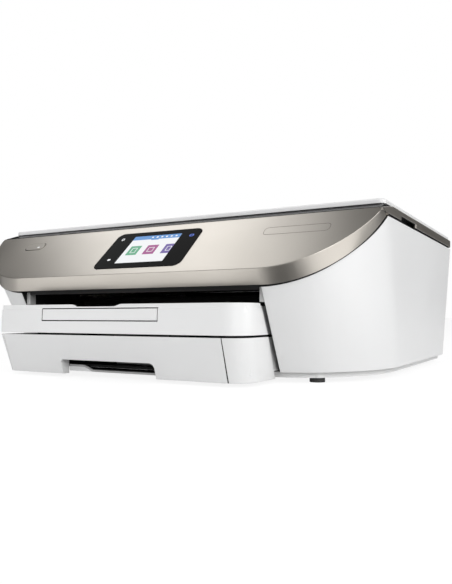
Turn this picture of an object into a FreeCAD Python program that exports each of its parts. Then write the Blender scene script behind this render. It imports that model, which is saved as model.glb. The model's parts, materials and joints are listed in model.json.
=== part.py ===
import FreeCAD
import Part
import math
import os

# Compact home inkjet printer with a flatbed scanner on top, as separate pieces.
# Millimetres, +X to the right, +Y to the rear, +Z up, origin on the table under the middle.

V = FreeCAD.Vector

# Overall size
width = 454.0
depth = 414.0

# Fits shared by many pieces
shaft_gap = 0.05
slide_gap = 0.5
seat_gap = 0.3
cut_margin = 1.0

# Casing, base plate and feet
foot_height = 4.0
foot_radius = 6.9
foot_inset_x = 61.0
foot_front_inset = 23.5
foot_rear_inset = 40.0
plate_height = 5.0
plate_skin = 2.5
plate_inset = 6.0
casing_height = 136.0
wall = 2.5
side_draft = 9.5
front_bottom_y = -141.5
front_rake = 27.0
corner_start_gap = 1.0
corner_reach_y = 115.0
corner_turn = 50.0
rear_corner = 12.0
flange_width = 10.0
opening_half = 140.0
hinge_overhang = 2.0

# Control panel, lip and side band of the scanner unit
crease_y = -186.0
crease_z = 98.0
panel_tilt = 40.9
panel_length = 79.4
panel_skin = 2.5
panel_reach_x = 90.0
panel_reach_y = 63.0
panel_turn = 60.0
lip_depth = 14.1
lip_gap = 1.4
lip_overhang = 0.6
lip_side_inset = 0.2
lip_reach = 84.0
door_gap = 2.0
band_height = 8.3
band_rise = 34.0
rim_round = 8.0
lip_round = 9.5
grip_y0 = -62.0
grip_y1 = -2.0
grip_height = 4.0

# Scanner inside the unit
frame_thickness = 3.0
tub_inset = 9.0
tub_wall = 2.0
tub_depth = 12.3
back_plate_drop = 9.0
back_plate_thickness = 2.0
glass_length = 304.0
glass_width = 220.0
glass_thickness = 2.8
glass_margin = 6.0
glass_offset = 1.0
scan_bar_width = 26.0
scan_bar_height = 6.0
scan_rod_radius = 2.0

# Display, its module and the power key
display_x0 = -44.0
display_x1 = 58.0
display_s0 = 9.0
display_s1 = 69.0
display_corner = 8.0
display_thickness = 1.6
display_proud = 0.4
module_border_x = 18.0
module_border_s = 5.0
module_thickness = 5.9
key_inset = 55.0
key_width = 27.0
key_s0 = 52.0
key_s1 = 64.0
key_corner = 5.8
key_proud = 0.3
key_flange = 1.5
key_flange_thickness = 1.4

# Lid and its hinges
lid_side_inset = 2.5
lid_front_setback = 15.0
lid_rear_inset = 6.0
lid_gap = 0.7
lid_thickness = 4.5
lid_front_corner = 6.0
lid_rear_corner = 8.0
lid_edge_round = 2.0
pad_margin = 6.0
pad_inset = 1.2
pad_gap = 0.2
lid_hinge_x = 150.0
lid_knuckle_radius = 2.2
lid_pin_radius = 1.2
door_hinge_x = 120.0
door_knuckle_radius = 2.8
door_pin_radius = 1.5
knuckle_width = 16.0
knuckle_gap = 0.5

# Trays at the front
tray_front_gap = 1.0
tray_shift = -1.5
tray_tuck = 0.5
tray_right_corner = 22.0
tray_left_corner = 4.0
tray_gap = 1.5
tray_wall = 3.0
upper_z0 = 42.7
upper_height = 26.9
upper_draft = 1.6
upper_ledge = 22.6
upper_step = 0.8
upper_rim = 2.1
upper_hollow = 9.3
upper_front_thickness = 12.0
upper_rear_y = -70.0
dip_x0 = -47.0
dip_x1 = 14.0
dip_depth = 2.0
dip_blend = 10.0
extender_x0 = -82.0
extender_x1 = 53.5
extender_z0 = 54.8
extender_height = 10.5
extender_length = 112.0
extender_bar = 8.0
extender_plate = 3.5
extender_gap = 0.9
lower_z0 = 3.0
lower_height = 37.8
lower_lean = 12.0
lower_taper = 2.5
lower_clear = 0.8
lower_floor = 2.5
lower_front_room = 21.5
lower_side_height = 28.0
lower_rear_height = 12.0
lower_rear_y = 105.0
flap_x1 = 117.2
flap_left_edge = 5.5
flap_lug = 2.2
flap_gap = 0.8
flap_axis_inset = 16.5
flap_axis_rise = 4.0
flap_knuckle_radius = 3.2
flap_knuckle_width = 14.0
flap_pin_radius = 1.5
notch_x0 = -65.0
notch_x1 = 45.0
notch_height = 14.0
notch_corner = 4.0
notch_cheek = 2.0
notch_cheek_gap = 1.5
well_drop = 4.2
well_front = 2.5
well_depth = 18.0
well_side_gap = 1.0

# Paper guides in the lower tray
guide_half = 108.0
guide_thickness = 2.5
guide_centre_y = -10.0
guide_length = 110.0
guide_height = 23.0
rack_overlap = 4
rack_height = 3.0
rack_thickness = 4.0
guide_pinion_teeth = 16
length_guide_y = -165.0
length_guide_half = 22.0
length_guide_foot = 25.0

# Inner frame, rollers and gear train
side_frame_thickness = 2.5
side_frame_setback = 4.5
side_frame_rear_gap = 45.0
side_frame_height = 79.0
side_frame_dip = 7.0
carriage_path_y0 = -92.0
carriage_path_y1 = 22.0
deck_thickness = 2.5
deck_drop = 2.0
deck_front_y = -172.0
pillar_width = 5.0
pillar_depth = 8.0
pillar_lift = 1.0
platen_front_y = -72.0
platen_rear_y = -14.0
platen_top = 80.0
platen_thickness = 8.0
roller_z = 74.0
feed_roller_y = -4.0
feed_roller_radius = 7.0
exit_roller_radius = 6.0
roller_end_gap = 10.0
journal_radius = 3.0
journal_end = 3.5
gear_module = 1.0
gear_backlash = 0.5
gear_addendum = 0.6
gear_dedendum = 1.1
gear_width = 6.0
gear_side_gap = 47.5
bracket_gap = 2.0
bracket_margin = 18.0
bracket_rise = 8.0
feed_teeth = 34
idler_teeth = 44
feed_pinion_teeth = 12
motor_radius = 9.5
motor_length = 26.0
feed_motor_gap = 11.0
motor_shaft_radius = 1.5
rear_guide_y = 112.0
rear_guide_z = 58.0
rear_guide_radius = 42.5
rear_guide_thickness = 2.5

# Paper pick arm
pick_pivot_y = 60.0
pick_pivot_z = 58.0
pick_pivot_radius = 2.5
pick_reach_y = 32.0
pick_drop_z = 7.5
pick_roller_radius = 9.0
pick_roller_width = 18.0
pick_axle_radius = 2.0
pick_arm_width = 12.0
pick_arm_thickness = 3.0

# Carriage, cartridges and their drive
rail_y = 31.0
rail_thickness = 2.0
rail_end_gap = 21.0
rail_height = 44.0
rail_tab = 3.0
rail_tab_reach = 20.0
rod_y_place = 20.0
rod_z_place = 112.0
guide_rod_radius = 4.0
carriage_width = 92.0
park_inset = 45.0
carriage_front_y = -76.0
carriage_rear_y = 8.0
carriage_z0 = 84.0
carriage_height = 34.0
carriage_wall = 4.0
carriage_floor = 3.0
bush_rear_y = 28.0
bush_half = 8.0
cartridge_gap = 0.5
cartridge_height = 31.0
nozzle_x = 20.0
nozzle_y = 30.0
nozzle_length = 3.5
latch_thickness = 3.0
latch_length = 60.0
belt_z = 94.6
belt_height = 5.0
belt_thickness = 1.0
pulley_inset = 11.0
pulley_radius = 5.4
belt_slack = 0.3
shelf_thickness = 2.0
shelf_half = 14.0
encoder_height = 5.0
encoder_thickness = 0.6
station_end_gap = 22.0
station_front_y = -74.0
station_rear_y = -10.0
station_height = 16.0

# Electronics, sockets, rear cover and screws
supply_side_gap = 24.0
supply_frame_gap = 9.5
supply_y0 = 40.0
supply_rear_gap = 33.0
supply_height = 48.0
board_frame_gap = 9.5
board_side_gap = 27.0
board_y0 = 70.0
board_rear_gap = 13.0
board_rise = 8.0
board_thickness = 1.6
board_post_radius = 3.0
board_post_inset = 6.0
chip_height = 4.0
port_offset = 4.0
port_width = 12.0
port_height = 11.0
port_depth = 16.0
port_wall = 1.0
inlet_z = 38.0
inlet_width = 25.0
inlet_height = 18.0
inlet_depth = 18.0
inlet_flange = 3.0
inlet_flange_thickness = 1.4
inlet_socket_width = 14.0
inlet_socket_height = 8.0
cover_half = 118.0
cover_z0 = 32.0
cover_z1 = 108.0
cover_flange = 4.0
cover_thickness = 1.6
screw_radius = 1.6
screw_depth = 3.0

# Values that follow from the sizes above
half_width = width / 2
tray_front_y = -depth / 2
rear_reach_y = depth / 2
casing_rear_y = rear_reach_y - hinge_overhang
casing_z0 = foot_height + plate_height
casing_top = casing_z0 + casing_height
band_z0 = casing_top + door_gap
band_top = band_z0 + band_height
corner_reach_x = half_width - opening_half - corner_start_gap
foot_x = half_width - foot_inset_x
foot_front_y = front_bottom_y + foot_front_inset
foot_rear_y = casing_rear_y - foot_rear_inset
tilt = math.radians(panel_tilt)
rake = math.tan(math.radians(front_rake))
panel_top_y = crease_y + panel_length * math.cos(tilt)
key_x0 = key_inset - half_width
key_x1 = key_x0 + key_width
lid_half = half_width - lid_side_inset
lid_front_y = panel_top_y + lid_front_setback
lid_rear_y = rear_reach_y - lid_rear_inset
glass_centre_y = (lid_front_y + lid_rear_y) / 2 - glass_offset
frame_under_z = band_top - frame_thickness
tub_floor_z = frame_under_z - tub_depth
lid_z0 = band_top + lid_gap
lid_top = lid_z0 + lid_thickness
upper_top = upper_z0 + upper_height
deck_top = upper_top - upper_rim
lower_top = lower_z0 + lower_height
lower_floor_z = casing_z0 + lower_clear
tray_half = opening_half - tray_front_gap
tray_x0 = tray_shift - tray_half + lower_taper + tray_tuck
tray_x1 = tray_shift + tray_half - lower_taper - tray_tuck
flap_x0 = tray_shift + flap_left_edge - tray_half
rack_z = lower_floor_z + lower_floor + seat_gap
side_frame_top = casing_z0 + side_frame_height
throat_top = side_frame_top - deck_drop
idler_y = feed_roller_y - gear_module * (feed_teeth + idler_teeth) / 2
exit_roller_y = idler_y - gear_module * (feed_teeth + idler_teeth) / 2
feed_pinion_y = feed_roller_y + gear_module * (feed_teeth + feed_pinion_teeth) / 2
gear_x = gear_side_gap - half_width
feed_motor_x = gear_x + feed_motor_gap
bracket_x1 = gear_x - gear_width - bracket_gap
bracket_x0 = bracket_x1 - side_frame_thickness
side_frame_rear_y = casing_rear_y - side_frame_rear_gap
side_frame_out = opening_half + side_frame_thickness
rail_half = half_width - rail_end_gap
pulley_x = rail_half - pulley_inset
carriage_park_x = pulley_x - park_inset
station_end_x = half_width - station_end_gap
supply_x0 = supply_side_gap - half_width
supply_x1 = -side_frame_out - supply_frame_gap
supply_y1 = casing_rear_y - supply_rear_gap
board_x0 = side_frame_out + board_frame_gap
board_x1 = half_width - board_side_gap
board_y1 = casing_rear_y - board_rear_gap
port_x = (board_x0 + board_x1) / 2 - port_offset
inlet_x = (supply_x0 + supply_x1) / 2
board_z = casing_z0 + board_rise
shelf_z = belt_z - seat_gap - shelf_thickness


def box(x0, x1, y0, y1, z0, z1):
    return Part.makeBox(x1 - x0, y1 - y0, z1 - z0, V(x0, y0, z0))


def rod_x(x0, x1, y, z, radius):
    return Part.makeCylinder(radius, x1 - x0, V(x0, y, z), V(1, 0, 0))


def rod_z(z0, z1, x, y, radius):
    return Part.makeCylinder(radius, z1 - z0, V(x, y, z0), V(0, 0, 1))


def prism_x(points, x0, x1):
    """A closed profile given as (y, z) corners, extruded from x0 to x1."""
    corners = [V(x0, y, z) for y, z in points]
    return Part.Face(Part.makePolygon(corners + corners[:1])).extrude(V(x1 - x0, 0, 0))


def prism_z(wire, z0, z1):
    """A flat outline drawn at height zero, extruded from z0 to z1."""
    body = Part.Face(wire).extrude(V(0, 0, z1 - z0))
    body.translate(V(0, 0, z0))
    return body


def both_sides(shape):
    """A shape with its mirror image across the middle of the machine."""
    return [shape, shape.mirror(V(0, 0, 0), V(1, 0, 0))]


def rounded_plate(x0, x1, y0, y1, z0, z1, radius):
    """A plate with four rounded corners in plan."""
    plate = box(x0, x1, y0, y1, z0, z1)
    upright = [e for e in plate.Edges if abs(e.tangentAt(e.FirstParameter).z) > 0.99]
    return plate.makeFillet(radius, upright)


def loft(lower, upper):
    return Part.makeLoft([lower, upper], True, True)


def plan_outline(z, front, half, rear, reach_x, reach_y, turn, inset):
    """Outline with a flat front, front corners of two tangent arcs, straight sides and a flat rear."""
    angle = math.radians(turn)
    s = math.sin(angle)
    c = math.cos(angle)
    scale = s * c - (1 - s) * (1 - c)
    r1 = (reach_x * c - reach_y * (1 - s)) / scale
    r2 = (reach_y * s - reach_x * (1 - c)) / scale
    flat = half - reach_x
    centre1 = V(flat, front + r1, z)
    centre2 = centre1 + V(s, -c, 0) * (r1 - r2)
    centre3 = V(half - rear_corner, rear - rear_corner, z)
    side = half - inset

    def on_arc(centre, radius, at):
        return centre + V(math.sin(at), -math.cos(at), 0) * (radius - inset)

    right = math.pi / 2
    points = [V(flat, front + inset, z), on_arc(centre1, r1, angle / 2), on_arc(centre1, r1, angle),
              on_arc(centre2, r2, (angle + right) / 2), V(side, centre2.y, z), V(side, centre3.y, z),
              on_arc(centre3, rear_corner, right * 1.5), V(centre3.x, rear - inset, z)]
    mirrored = [V(-p.x, p.y, p.z) for p in points]
    a, b = points, mirrored
    edges = [Part.LineSegment(b[0], a[0]), Part.Arc(a[0], a[1], a[2]), Part.Arc(a[2], a[3], a[4]),
             Part.LineSegment(a[4], a[5]), Part.Arc(a[5], a[6], a[7]), Part.LineSegment(a[7], b[7]),
             Part.Arc(b[7], b[6], b[5]), Part.LineSegment(b[5], b[4]), Part.Arc(b[4], b[3], b[2]),
             Part.Arc(b[2], b[1], b[0])]
    return Part.Wire([e.toShape() for e in edges])


def front_at(z):
    """Front face of the casing at a height."""
    return front_bottom_y - (z - casing_z0) * rake


def casing_outline(z, inset):
    half = half_width - side_draft * (casing_top - z) / casing_height
    return plan_outline(z, front_at(z), half, casing_rear_y, corner_reach_x, corner_reach_y, corner_turn,
                        inset)


def slope_z(y, drop):
    """Height of the plane that lies a drop below the control panel."""
    return crease_z + (y - crease_y) * math.tan(tilt) - drop / math.cos(tilt)


def slope_y(z, drop):
    return crease_y + (z - crease_z + drop / math.cos(tilt)) / math.tan(tilt)


def above_slope(drop):
    """Everything over the plane that lies a drop below the control panel."""
    near = crease_y - depth
    far = slope_y(lid_top + depth, drop)
    corners = [(near, slope_z(near, drop)), (far, slope_z(far, drop)), (near, slope_z(far, drop))]
    return prism_x(corners, -width, width)


def on_slope(wire, drop):
    """A flat outline moved straight up or down onto a plane parallel to the control panel."""
    lift = FreeCAD.Matrix()
    lift.A32 = math.tan(tilt)
    lift.A34 = slope_z(0, drop)
    return wire.transformGeometry(lift)


def on_panel(shape):
    """A shape drawn flat, with Y up the slope and Z out of the panel, set on the control panel."""
    shape.Placement = FreeCAD.Placement(V(0, crease_y, crease_z), FreeCAD.Rotation(V(1, 0, 0), panel_tilt))
    return shape


def lip_front_y():
    """Where the casing's front face meets the plane of the lip's lower edge."""
    height = slope_z(0, lip_depth) - casing_z0
    return (front_bottom_y - rake * height) / (1 + rake * math.tan(tilt)) - lip_overhang


def crease_outline(inset):
    return plan_outline(0, crease_y, half_width, casing_rear_y, panel_reach_x, panel_reach_y, panel_turn,
                        inset)


def lip_outline(inset):
    half = half_width - lip_side_inset
    return plan_outline(0, lip_front_y(), half, casing_rear_y, lip_reach, lip_reach, panel_turn, inset)


# Hinges: knuckles on an axis along X, with the fixed pair outside and the moving one between them

lid_axis_y = rear_reach_y - lid_knuckle_radius
lid_axis_z = lid_z0 + lid_knuckle_radius
door_axis_y = rear_reach_y - door_knuckle_radius
door_axis_z = casing_top + door_gap / 2


def hinge_spans(x):
    """X limits of the left, middle and right knuckle of a hinge centred at x."""
    half = knuckle_width / 2
    outer = half + knuckle_gap
    return [(x - outer - half, x - outer), (x - half, x + half), (x + outer, x + outer + half)]


def knuckle(span, y, z, radius, root_y, root_z):
    """A round knuckle with a straight root that reaches its carrier at (root_y, root_z)."""
    barrel = rod_x(span[0], span[1], y, z, radius)
    root = box(span[0], span[1], min(y, root_y), max(y, root_y), min(z, root_z), max(z, root_z))
    return barrel.fuse(root)


def over_round(drop, level, radius):
    """Block over the round that joins the plane a drop below the panel to a level plane."""
    peak = slope_y(level, drop)
    centre_y = peak + radius * math.tan(tilt / 2)
    centre_z = level - radius
    above = level + radius
    p = [V(-width, centre_y + radius * math.sin(a), centre_z + radius * math.cos(a))
         for a in (-tilt, -tilt / 2, 0)]
    p = p + [V(-width, centre_y, above), V(-width, p[0].y, above)]
    edges = [Part.Arc(p[0], p[1], p[2]), Part.LineSegment(p[2], p[3]), Part.LineSegment(p[3], p[4]),
             Part.LineSegment(p[4], p[0])]
    return Part.Face(Part.Wire([e.toShape() for e in edges])).extrude(V(width * 2, 0, 0))


def make_base_casing():
    """White outer shell: raked front with the tray opening, open top, bottom flange."""
    body = loft(casing_outline(casing_z0, 0), casing_outline(casing_top, 0))
    room = loft(casing_outline(casing_z0 + wall, wall), casing_outline(casing_top + cut_margin, wall))
    hole = loft(casing_outline(casing_z0 - cut_margin, flange_width),
                casing_outline(casing_z0 + wall + cut_margin, flange_width))
    body = body.cut([room, hole, above_slope(lip_depth + lip_gap),
                     over_round(lip_depth + lip_gap, casing_top, rim_round)])
    mouth = box(-opening_half, opening_half, -depth, front_bottom_y + corner_reach_y / 2, 0, casing_top)
    body = body.cut([mouth] + rear_wall_openings())
    for x in (-door_hinge_x, door_hinge_x):
        left, middle, right = hinge_spans(x)
        clear = (middle[0] - knuckle_gap, middle[1] + knuckle_gap)
        body = body.cut(rod_x(clear[0], clear[1], door_axis_y, door_axis_z, door_knuckle_radius + seat_gap))
        for span in (left, right):
            body = body.fuse(knuckle(span, door_axis_y, door_axis_z, door_knuckle_radius,
                                     casing_rear_y - wall, casing_top - door_knuckle_radius * 2))
        body = body.fuse(rod_x(left[0], right[1], door_axis_y, door_axis_z, door_pin_radius))
    return body


def make_base_plate():
    """White plinth that closes the casing from below, hollow underneath, with posts for the board."""
    body = prism_z(plinth_outline(plate_inset), foot_height, casing_z0)
    pocket = prism_z(plinth_outline(plate_inset + plate_skin), foot_height - cut_margin,
                     casing_z0 - plate_skin)
    body = body.cut(pocket)
    for x, y in foot_places():
        body = body.fuse(rod_z(foot_height, casing_z0, x, y, foot_radius))
    for x, y in board_posts():
        body = body.fuse(rod_z(casing_z0, board_z, x, y, board_post_radius))
    for x, y in foot_places():
        body = body.cut(rod_z(foot_height - cut_margin, foot_height + screw_depth, x, y, screw_radius))
    return body.removeSplitter()


def plinth_outline(inset):
    half = half_width - side_draft
    return plan_outline(0, front_bottom_y, half, casing_rear_y, corner_reach_x, corner_reach_y, corner_turn,
                        inset)


def foot_places():
    return [(x, y) for x in (-foot_x, foot_x) for y in (foot_front_y, foot_rear_y)]


def make_rubber_feet():
    return Part.makeCompound([rod_z(0, foot_height, x, y, foot_radius) for x, y in foot_places()])


def make_front_panel():
    """Champagne bezel: sloping control panel, rounded lip and the band round the scanner."""
    slab = loft(on_slope(crease_outline(0), 0), on_slope(lip_outline(0), lip_depth))
    seam_y = slope_y(band_z0, lip_depth) + door_gap
    slab = slab.common(box(-width, width, -depth, seam_y, 0, band_top))
    band = prism_z(crease_outline(0), band_z0, band_top).cut(above_slope(0))
    inner = loft(on_slope(crease_outline(wall), panel_skin),
                 on_slope(lip_outline(wall), lip_depth + cut_margin))
    well = prism_z(crease_outline(wall), casing_top, band_top + cut_margin)
    well = well.common(box(-width, width, panel_top_y, depth, 0, band_top + cut_margin))
    corner = over_round(lip_depth, band_z0, lip_round)
    corner = corner.common(prism_z(crease_outline(0), casing_z0, slope_z(slope_y(band_z0, lip_depth), 0)))
    slab = slab.fuse(corner.cut(above_slope(0)))
    foot_z = slope_z(panel_top_y, 0)
    rise = [(panel_top_y, foot_z), (panel_top_y + band_rise, band_top), (panel_top_y + band_rise, lid_top),
            (panel_top_y - band_rise, lid_top), (panel_top_y - band_rise, foot_z)]
    body = slab.fuse(band).cut([inner, well, prism_x(rise, -width, width)])
    grip = box(half_width - wall - cut_margin, half_width + cut_margin, grip_y0, grip_y1,
               band_z0 - cut_margin, band_z0 + grip_height)
    body = body.cut(both_sides(grip) + panel_cutouts())
    for x in (-door_hinge_x, door_hinge_x):
        left, middle, right = hinge_spans(x)
        clear = rod_x(left[0] - knuckle_gap, right[1] + knuckle_gap, door_axis_y, door_axis_z,
                      door_knuckle_radius + seat_gap)
        eye = knuckle(middle, door_axis_y, door_axis_z, door_knuckle_radius, casing_rear_y - wall,
                      band_z0 + door_knuckle_radius * 2)
        bore = rod_x(middle[0], middle[1], door_axis_y, door_axis_z, door_pin_radius + shaft_gap)
        body = body.cut(clear).fuse(eye).cut(bore)
    for x in (-lid_hinge_x, lid_hinge_x):
        left, middle, right = hinge_spans(x)
        for span in (left, right):
            body = body.fuse(knuckle(span, lid_axis_y, lid_axis_z, lid_knuckle_radius,
                                     casing_rear_y - wall, band_z0 + door_gap))
        body = body.fuse(rod_x(left[0], right[1], lid_axis_y, lid_axis_z, lid_pin_radius))
    return body


def panel_cutouts():
    """Recess and window for the display, and the hole for the power key."""
    deep = panel_skin + cut_margin
    recess = rounded_plate(display_x0 - seat_gap, display_x1 + seat_gap, display_s0 - seat_gap,
                           display_s1 + seat_gap, display_proud - display_thickness, deep,
                           display_corner + seat_gap)
    window = box(display_x0 + module_border_x - slide_gap, display_x1 - module_border_x + slide_gap,
                 display_s0 + module_border_s - slide_gap, display_s1 - module_border_s + slide_gap,
                 -deep, deep)
    hole = rounded_plate(key_x0 - slide_gap, key_x1 + slide_gap, key_s0 - slide_gap, key_s1 + slide_gap,
                         -deep, deep, key_corner)
    return [on_panel(recess), on_panel(window), on_panel(hole)]


def make_display_glass():
    """Black glass cover set into the panel."""
    return on_panel(rounded_plate(display_x0, display_x1, display_s0, display_s1,
                                  display_proud - display_thickness, display_proud, display_corner))


def make_display_module():
    """Touch display bonded behind the glass."""
    top = display_proud - display_thickness
    return on_panel(box(display_x0 + module_border_x, display_x1 - module_border_x,
                        display_s0 + module_border_s, display_s1 - module_border_s,
                        top - module_thickness, top))


def make_power_button():
    """Key cap with a flange that keeps it behind the panel."""
    cap = rounded_plate(key_x0, key_x1, key_s0, key_s1, -panel_skin - slide_gap, key_proud, key_corner)
    top = -panel_skin - seat_gap
    flange = box(key_x0 - key_flange, key_x1 + key_flange, key_s0 - key_flange, key_s1 + key_flange,
                 top - key_flange_thickness, top)
    return on_panel(cap.fuse(flange).removeSplitter())


def make_scanner_frame():
    """Dark rim round the scanning glass with a sloping front apron."""
    front = panel_top_y + seat_gap
    apron = slope_z(front, 0)
    profile = [(front, apron), (lid_front_y, band_top), (casing_rear_y, band_top),
               (casing_rear_y, frame_under_z), (lid_front_y, frame_under_z),
               (front, apron - frame_thickness)]
    plate = prism_x(profile, -half_width, half_width)
    body = plate.common(prism_z(crease_outline(wall + seat_gap), 0, band_top + cut_margin))
    half_x = glass_length / 2 - glass_margin
    half_y = glass_width / 2 - glass_margin
    return body.cut(box(-half_x, half_x, glass_centre_y - half_y, glass_centre_y + half_y, 0, lid_top))


def make_scanner_glass():
    half_x = glass_length / 2
    half_y = glass_width / 2
    return box(-half_x, half_x, glass_centre_y - half_y, glass_centre_y + half_y,
               frame_under_z - glass_thickness, frame_under_z)


def tub_limits():
    """Outer X half width, front and rear of the scanner tub."""
    return half_width - tub_inset, lid_front_y + tub_wall, casing_rear_y - tub_inset


def make_scanner_tub():
    """Black tray that carries the scanning unit, with the sloping back cover of the panel."""
    half, front, rear = tub_limits()
    body = box(-half, half, front, rear, tub_floor_z, frame_under_z)
    body = body.cut(box(-half + tub_wall, half - tub_wall, front + tub_wall, rear - tub_wall,
                        tub_floor_z + tub_wall, frame_under_z + cut_margin))
    inset = wall + seat_gap
    cover = loft(on_slope(lip_outline(inset), back_plate_drop),
                 on_slope(lip_outline(inset), back_plate_drop + back_plate_thickness))
    cover = cover.common(box(-width, width, -depth, front + tub_wall, 0, frame_under_z))
    return body.fuse(cover).removeSplitter()


def scan_rod_place():
    """Middle of the guide rod of the scanning bar in Y and Z."""
    return glass_centre_y, tub_floor_z + tub_wall + scan_rod_radius


def make_scan_rod():
    half = tub_limits()[0] - tub_wall
    y, z = scan_rod_place()
    return rod_x(-half, half, y, z, scan_rod_radius)


def make_scan_bar():
    """Contact image sensor bar that travels under the glass on its rod."""
    y, z = scan_rod_place()
    half_y = glass_width / 2 - glass_margin
    right = -glass_length / 2 + glass_margin + scan_bar_width
    top = frame_under_z - glass_thickness - slide_gap
    bar = box(right - scan_bar_width, right, y - half_y, y + half_y, top - scan_bar_height, top)
    shoe = box(right - scan_bar_width, right, y - scan_bar_width / 2, y + scan_bar_width / 2,
               tub_floor_z + tub_wall + slide_gap, top)
    bore = rod_x(right - scan_bar_width - cut_margin, right + cut_margin, y, z, scan_rod_radius + shaft_gap)
    return bar.fuse(shoe).removeSplitter().cut(bore)


def make_scanner_lid():
    """White lid: thin slab with a soft top edge, a recess for the pad and hinge eyes."""
    slab = box(-lid_half, lid_half, lid_front_y, lid_rear_y, lid_z0, lid_top)
    upright = [e for e in slab.Edges if abs(e.tangentAt(e.FirstParameter).z) > 0.99]
    front = [e for e in upright if e.CenterOfMass.y < 0]
    rear = [e for e in upright if e.CenterOfMass.y > 0]
    slab = slab.makeFillet(lid_front_corner, front)
    rear = [e for e in slab.Edges if abs(e.CenterOfMass.y - lid_rear_y) < seat_gap
            and abs(e.CenterOfMass.z - (lid_z0 + lid_top) / 2) < seat_gap]
    slab = slab.makeFillet(lid_rear_corner, rear)
    slab = slab.makeFillet(lid_edge_round, [e for e in slab.Edges if e.BoundBox.ZMin > lid_top - seat_gap])
    slab = slab.cut(pad_block(lid_z0 - cut_margin, lid_z0 + pad_inset))
    for x in (-lid_hinge_x, lid_hinge_x):
        middle = hinge_spans(x)[1]
        eye = knuckle(middle, lid_axis_y, lid_axis_z, lid_knuckle_radius, lid_rear_y - lid_edge_round,
                      lid_axis_z + lid_knuckle_radius - lid_edge_round / 2)
        slab = slab.fuse(eye)
        slab = slab.cut(rod_x(middle[0], middle[1], lid_axis_y, lid_axis_z, lid_pin_radius + shaft_gap))
    return slab


def pad_block(z0, z1):
    half_x = glass_length / 2 + pad_margin
    half_y = glass_width / 2 + pad_margin
    return box(-half_x, half_x, glass_centre_y - half_y, glass_centre_y + half_y, z0, z1)


def make_lid_pad():
    """White foam pad that presses the paper on the glass."""
    return pad_block(band_top + pad_gap, lid_z0 + pad_inset)


# Trays

def tray_outline(z, front, half, inset):
    """Outline of a tray front: tight left corner, wide right corner, sides running to the rear."""
    x = half - inset
    y = front + inset
    left = tray_left_corner - inset
    right = tray_right_corner - inset
    turn = 1 - math.sqrt(0.5)
    x0 = tray_shift - x
    x1 = tray_shift + x
    p = [V(x0 + left, y, z), V(x1 - right, y, z), V(x1 - right * turn, y + right * turn, z),
         V(x1, y + right, z), V(x1, 0, z), V(x0, 0, z), V(x0, y + left, z),
         V(x0 + left * turn, y + left * turn, z)]
    edges = [Part.LineSegment(p[0], p[1]), Part.Arc(p[1], p[2], p[3]), Part.LineSegment(p[3], p[4]),
             Part.LineSegment(p[4], p[5]), Part.LineSegment(p[5], p[6]), Part.Arc(p[6], p[7], p[0])]
    return Part.Wire([e.toShape() for e in edges])


def behind_front():
    """Everything behind the casing's raked front face, with room for the tray fronts."""
    top = casing_top + cut_margin
    corners = [(front_at(0) - tray_gap, 0), (front_at(top) - tray_gap, top), (depth, top), (depth, 0)]
    return prism_x(corners, -width, width)


def prism_y(points, y0, y1):
    """A closed profile given as (x, z) corners, extruded from y0 to y1."""
    corners = [V(x, y0, z) for x, z in points]
    return Part.Face(Part.makePolygon(corners + corners[:1])).extrude(V(0, y1 - y0, 0))


def upper_front():
    """Outer block of the output tray's front, with a small step at its ledge line."""
    ledge_z = upper_z0 + upper_ledge
    lean = upper_draft * upper_ledge / upper_height
    low = loft(tray_outline(upper_z0, tray_front_y, tray_half, 0),
               tray_outline(ledge_z, tray_front_y + lean, tray_half, 0))
    high = loft(tray_outline(ledge_z, tray_front_y + lean, tray_half, upper_step),
                tray_outline(upper_top, tray_front_y + upper_draft, tray_half, upper_step))
    return low.fuse(high)


def dip_profile():
    """Shallow dip in the rim of the output tray, with S-shaped ends."""
    steps = 8
    fall = [(dip_blend * i / steps, dip_depth * (1 - math.cos(math.pi * i / steps)) / 2)
            for i in range(steps + 1)]
    left = [(dip_x0 + run, upper_top - drop) for run, drop in fall]
    right = [(dip_x1 - run, upper_top - drop) for run, drop in reversed(fall)]
    above = upper_top + cut_margin
    return [(dip_x0, above)] + left + right + [(dip_x1, above)]


def make_output_tray():
    """Upper tray: catches the prints on its deck and houses the sliding extender."""
    inside = tray_front_y + upper_front_thickness
    body = upper_front().cut(behind_front())
    body = body.fuse(box(tray_x0, tray_x1, inside, upper_rear_y, upper_z0, deck_top))
    well = prism_z(tray_outline(0, tray_front_y + upper_draft, tray_half, tray_wall), deck_top, casing_top)
    hollow = box(tray_x0 + tray_wall, tray_x1 - tray_wall, inside,
                 upper_rear_y - tray_wall, 0, upper_z0 + upper_hollow)
    channel = box(extender_x0 - extender_gap, extender_x1 + extender_gap, tray_front_y - cut_margin,
                  tray_front_y + extender_length + extender_gap, extender_z0 - extender_gap,
                  extender_z0 + extender_height + extender_gap)
    dip = prism_y(dip_profile(), tray_front_y, tray_front_y + tray_wall * 2)
    return body.cut([well, hollow, channel, dip])


def make_tray_extender():
    """Sliding support for long prints: front bar flush with the tray and a flat plate behind it."""
    top = extender_z0 + extender_height
    bar = box(extender_x0, extender_x1, tray_front_y - cut_margin, tray_front_y + extender_bar,
              extender_z0, top)
    bar = upper_front().common(bar)
    plate = box(extender_x0, extender_x1, tray_front_y + extender_bar, tray_front_y + extender_length,
                top - extender_plate, top)
    return bar.fuse(plate).removeSplitter()


def lower_front():
    """Wall round the front of the paper tray, leaning back towards its lower edge."""
    low = tray_front_y + lower_lean
    outer = loft(tray_outline(lower_z0, low, tray_half - lower_taper, 0),
                 tray_outline(lower_top, tray_front_y, tray_half, 0))
    inner = loft(tray_outline(lower_z0, low, tray_half - lower_taper, tray_wall),
                 tray_outline(lower_top, tray_front_y, tray_half, tray_wall))
    return outer.cut(inner).cut(behind_front())


def flap_axis():
    """Y and Z of the hinge at the foot of the tray's front flap."""
    return tray_front_y + flap_axis_inset, lower_z0 + flap_axis_rise


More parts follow.
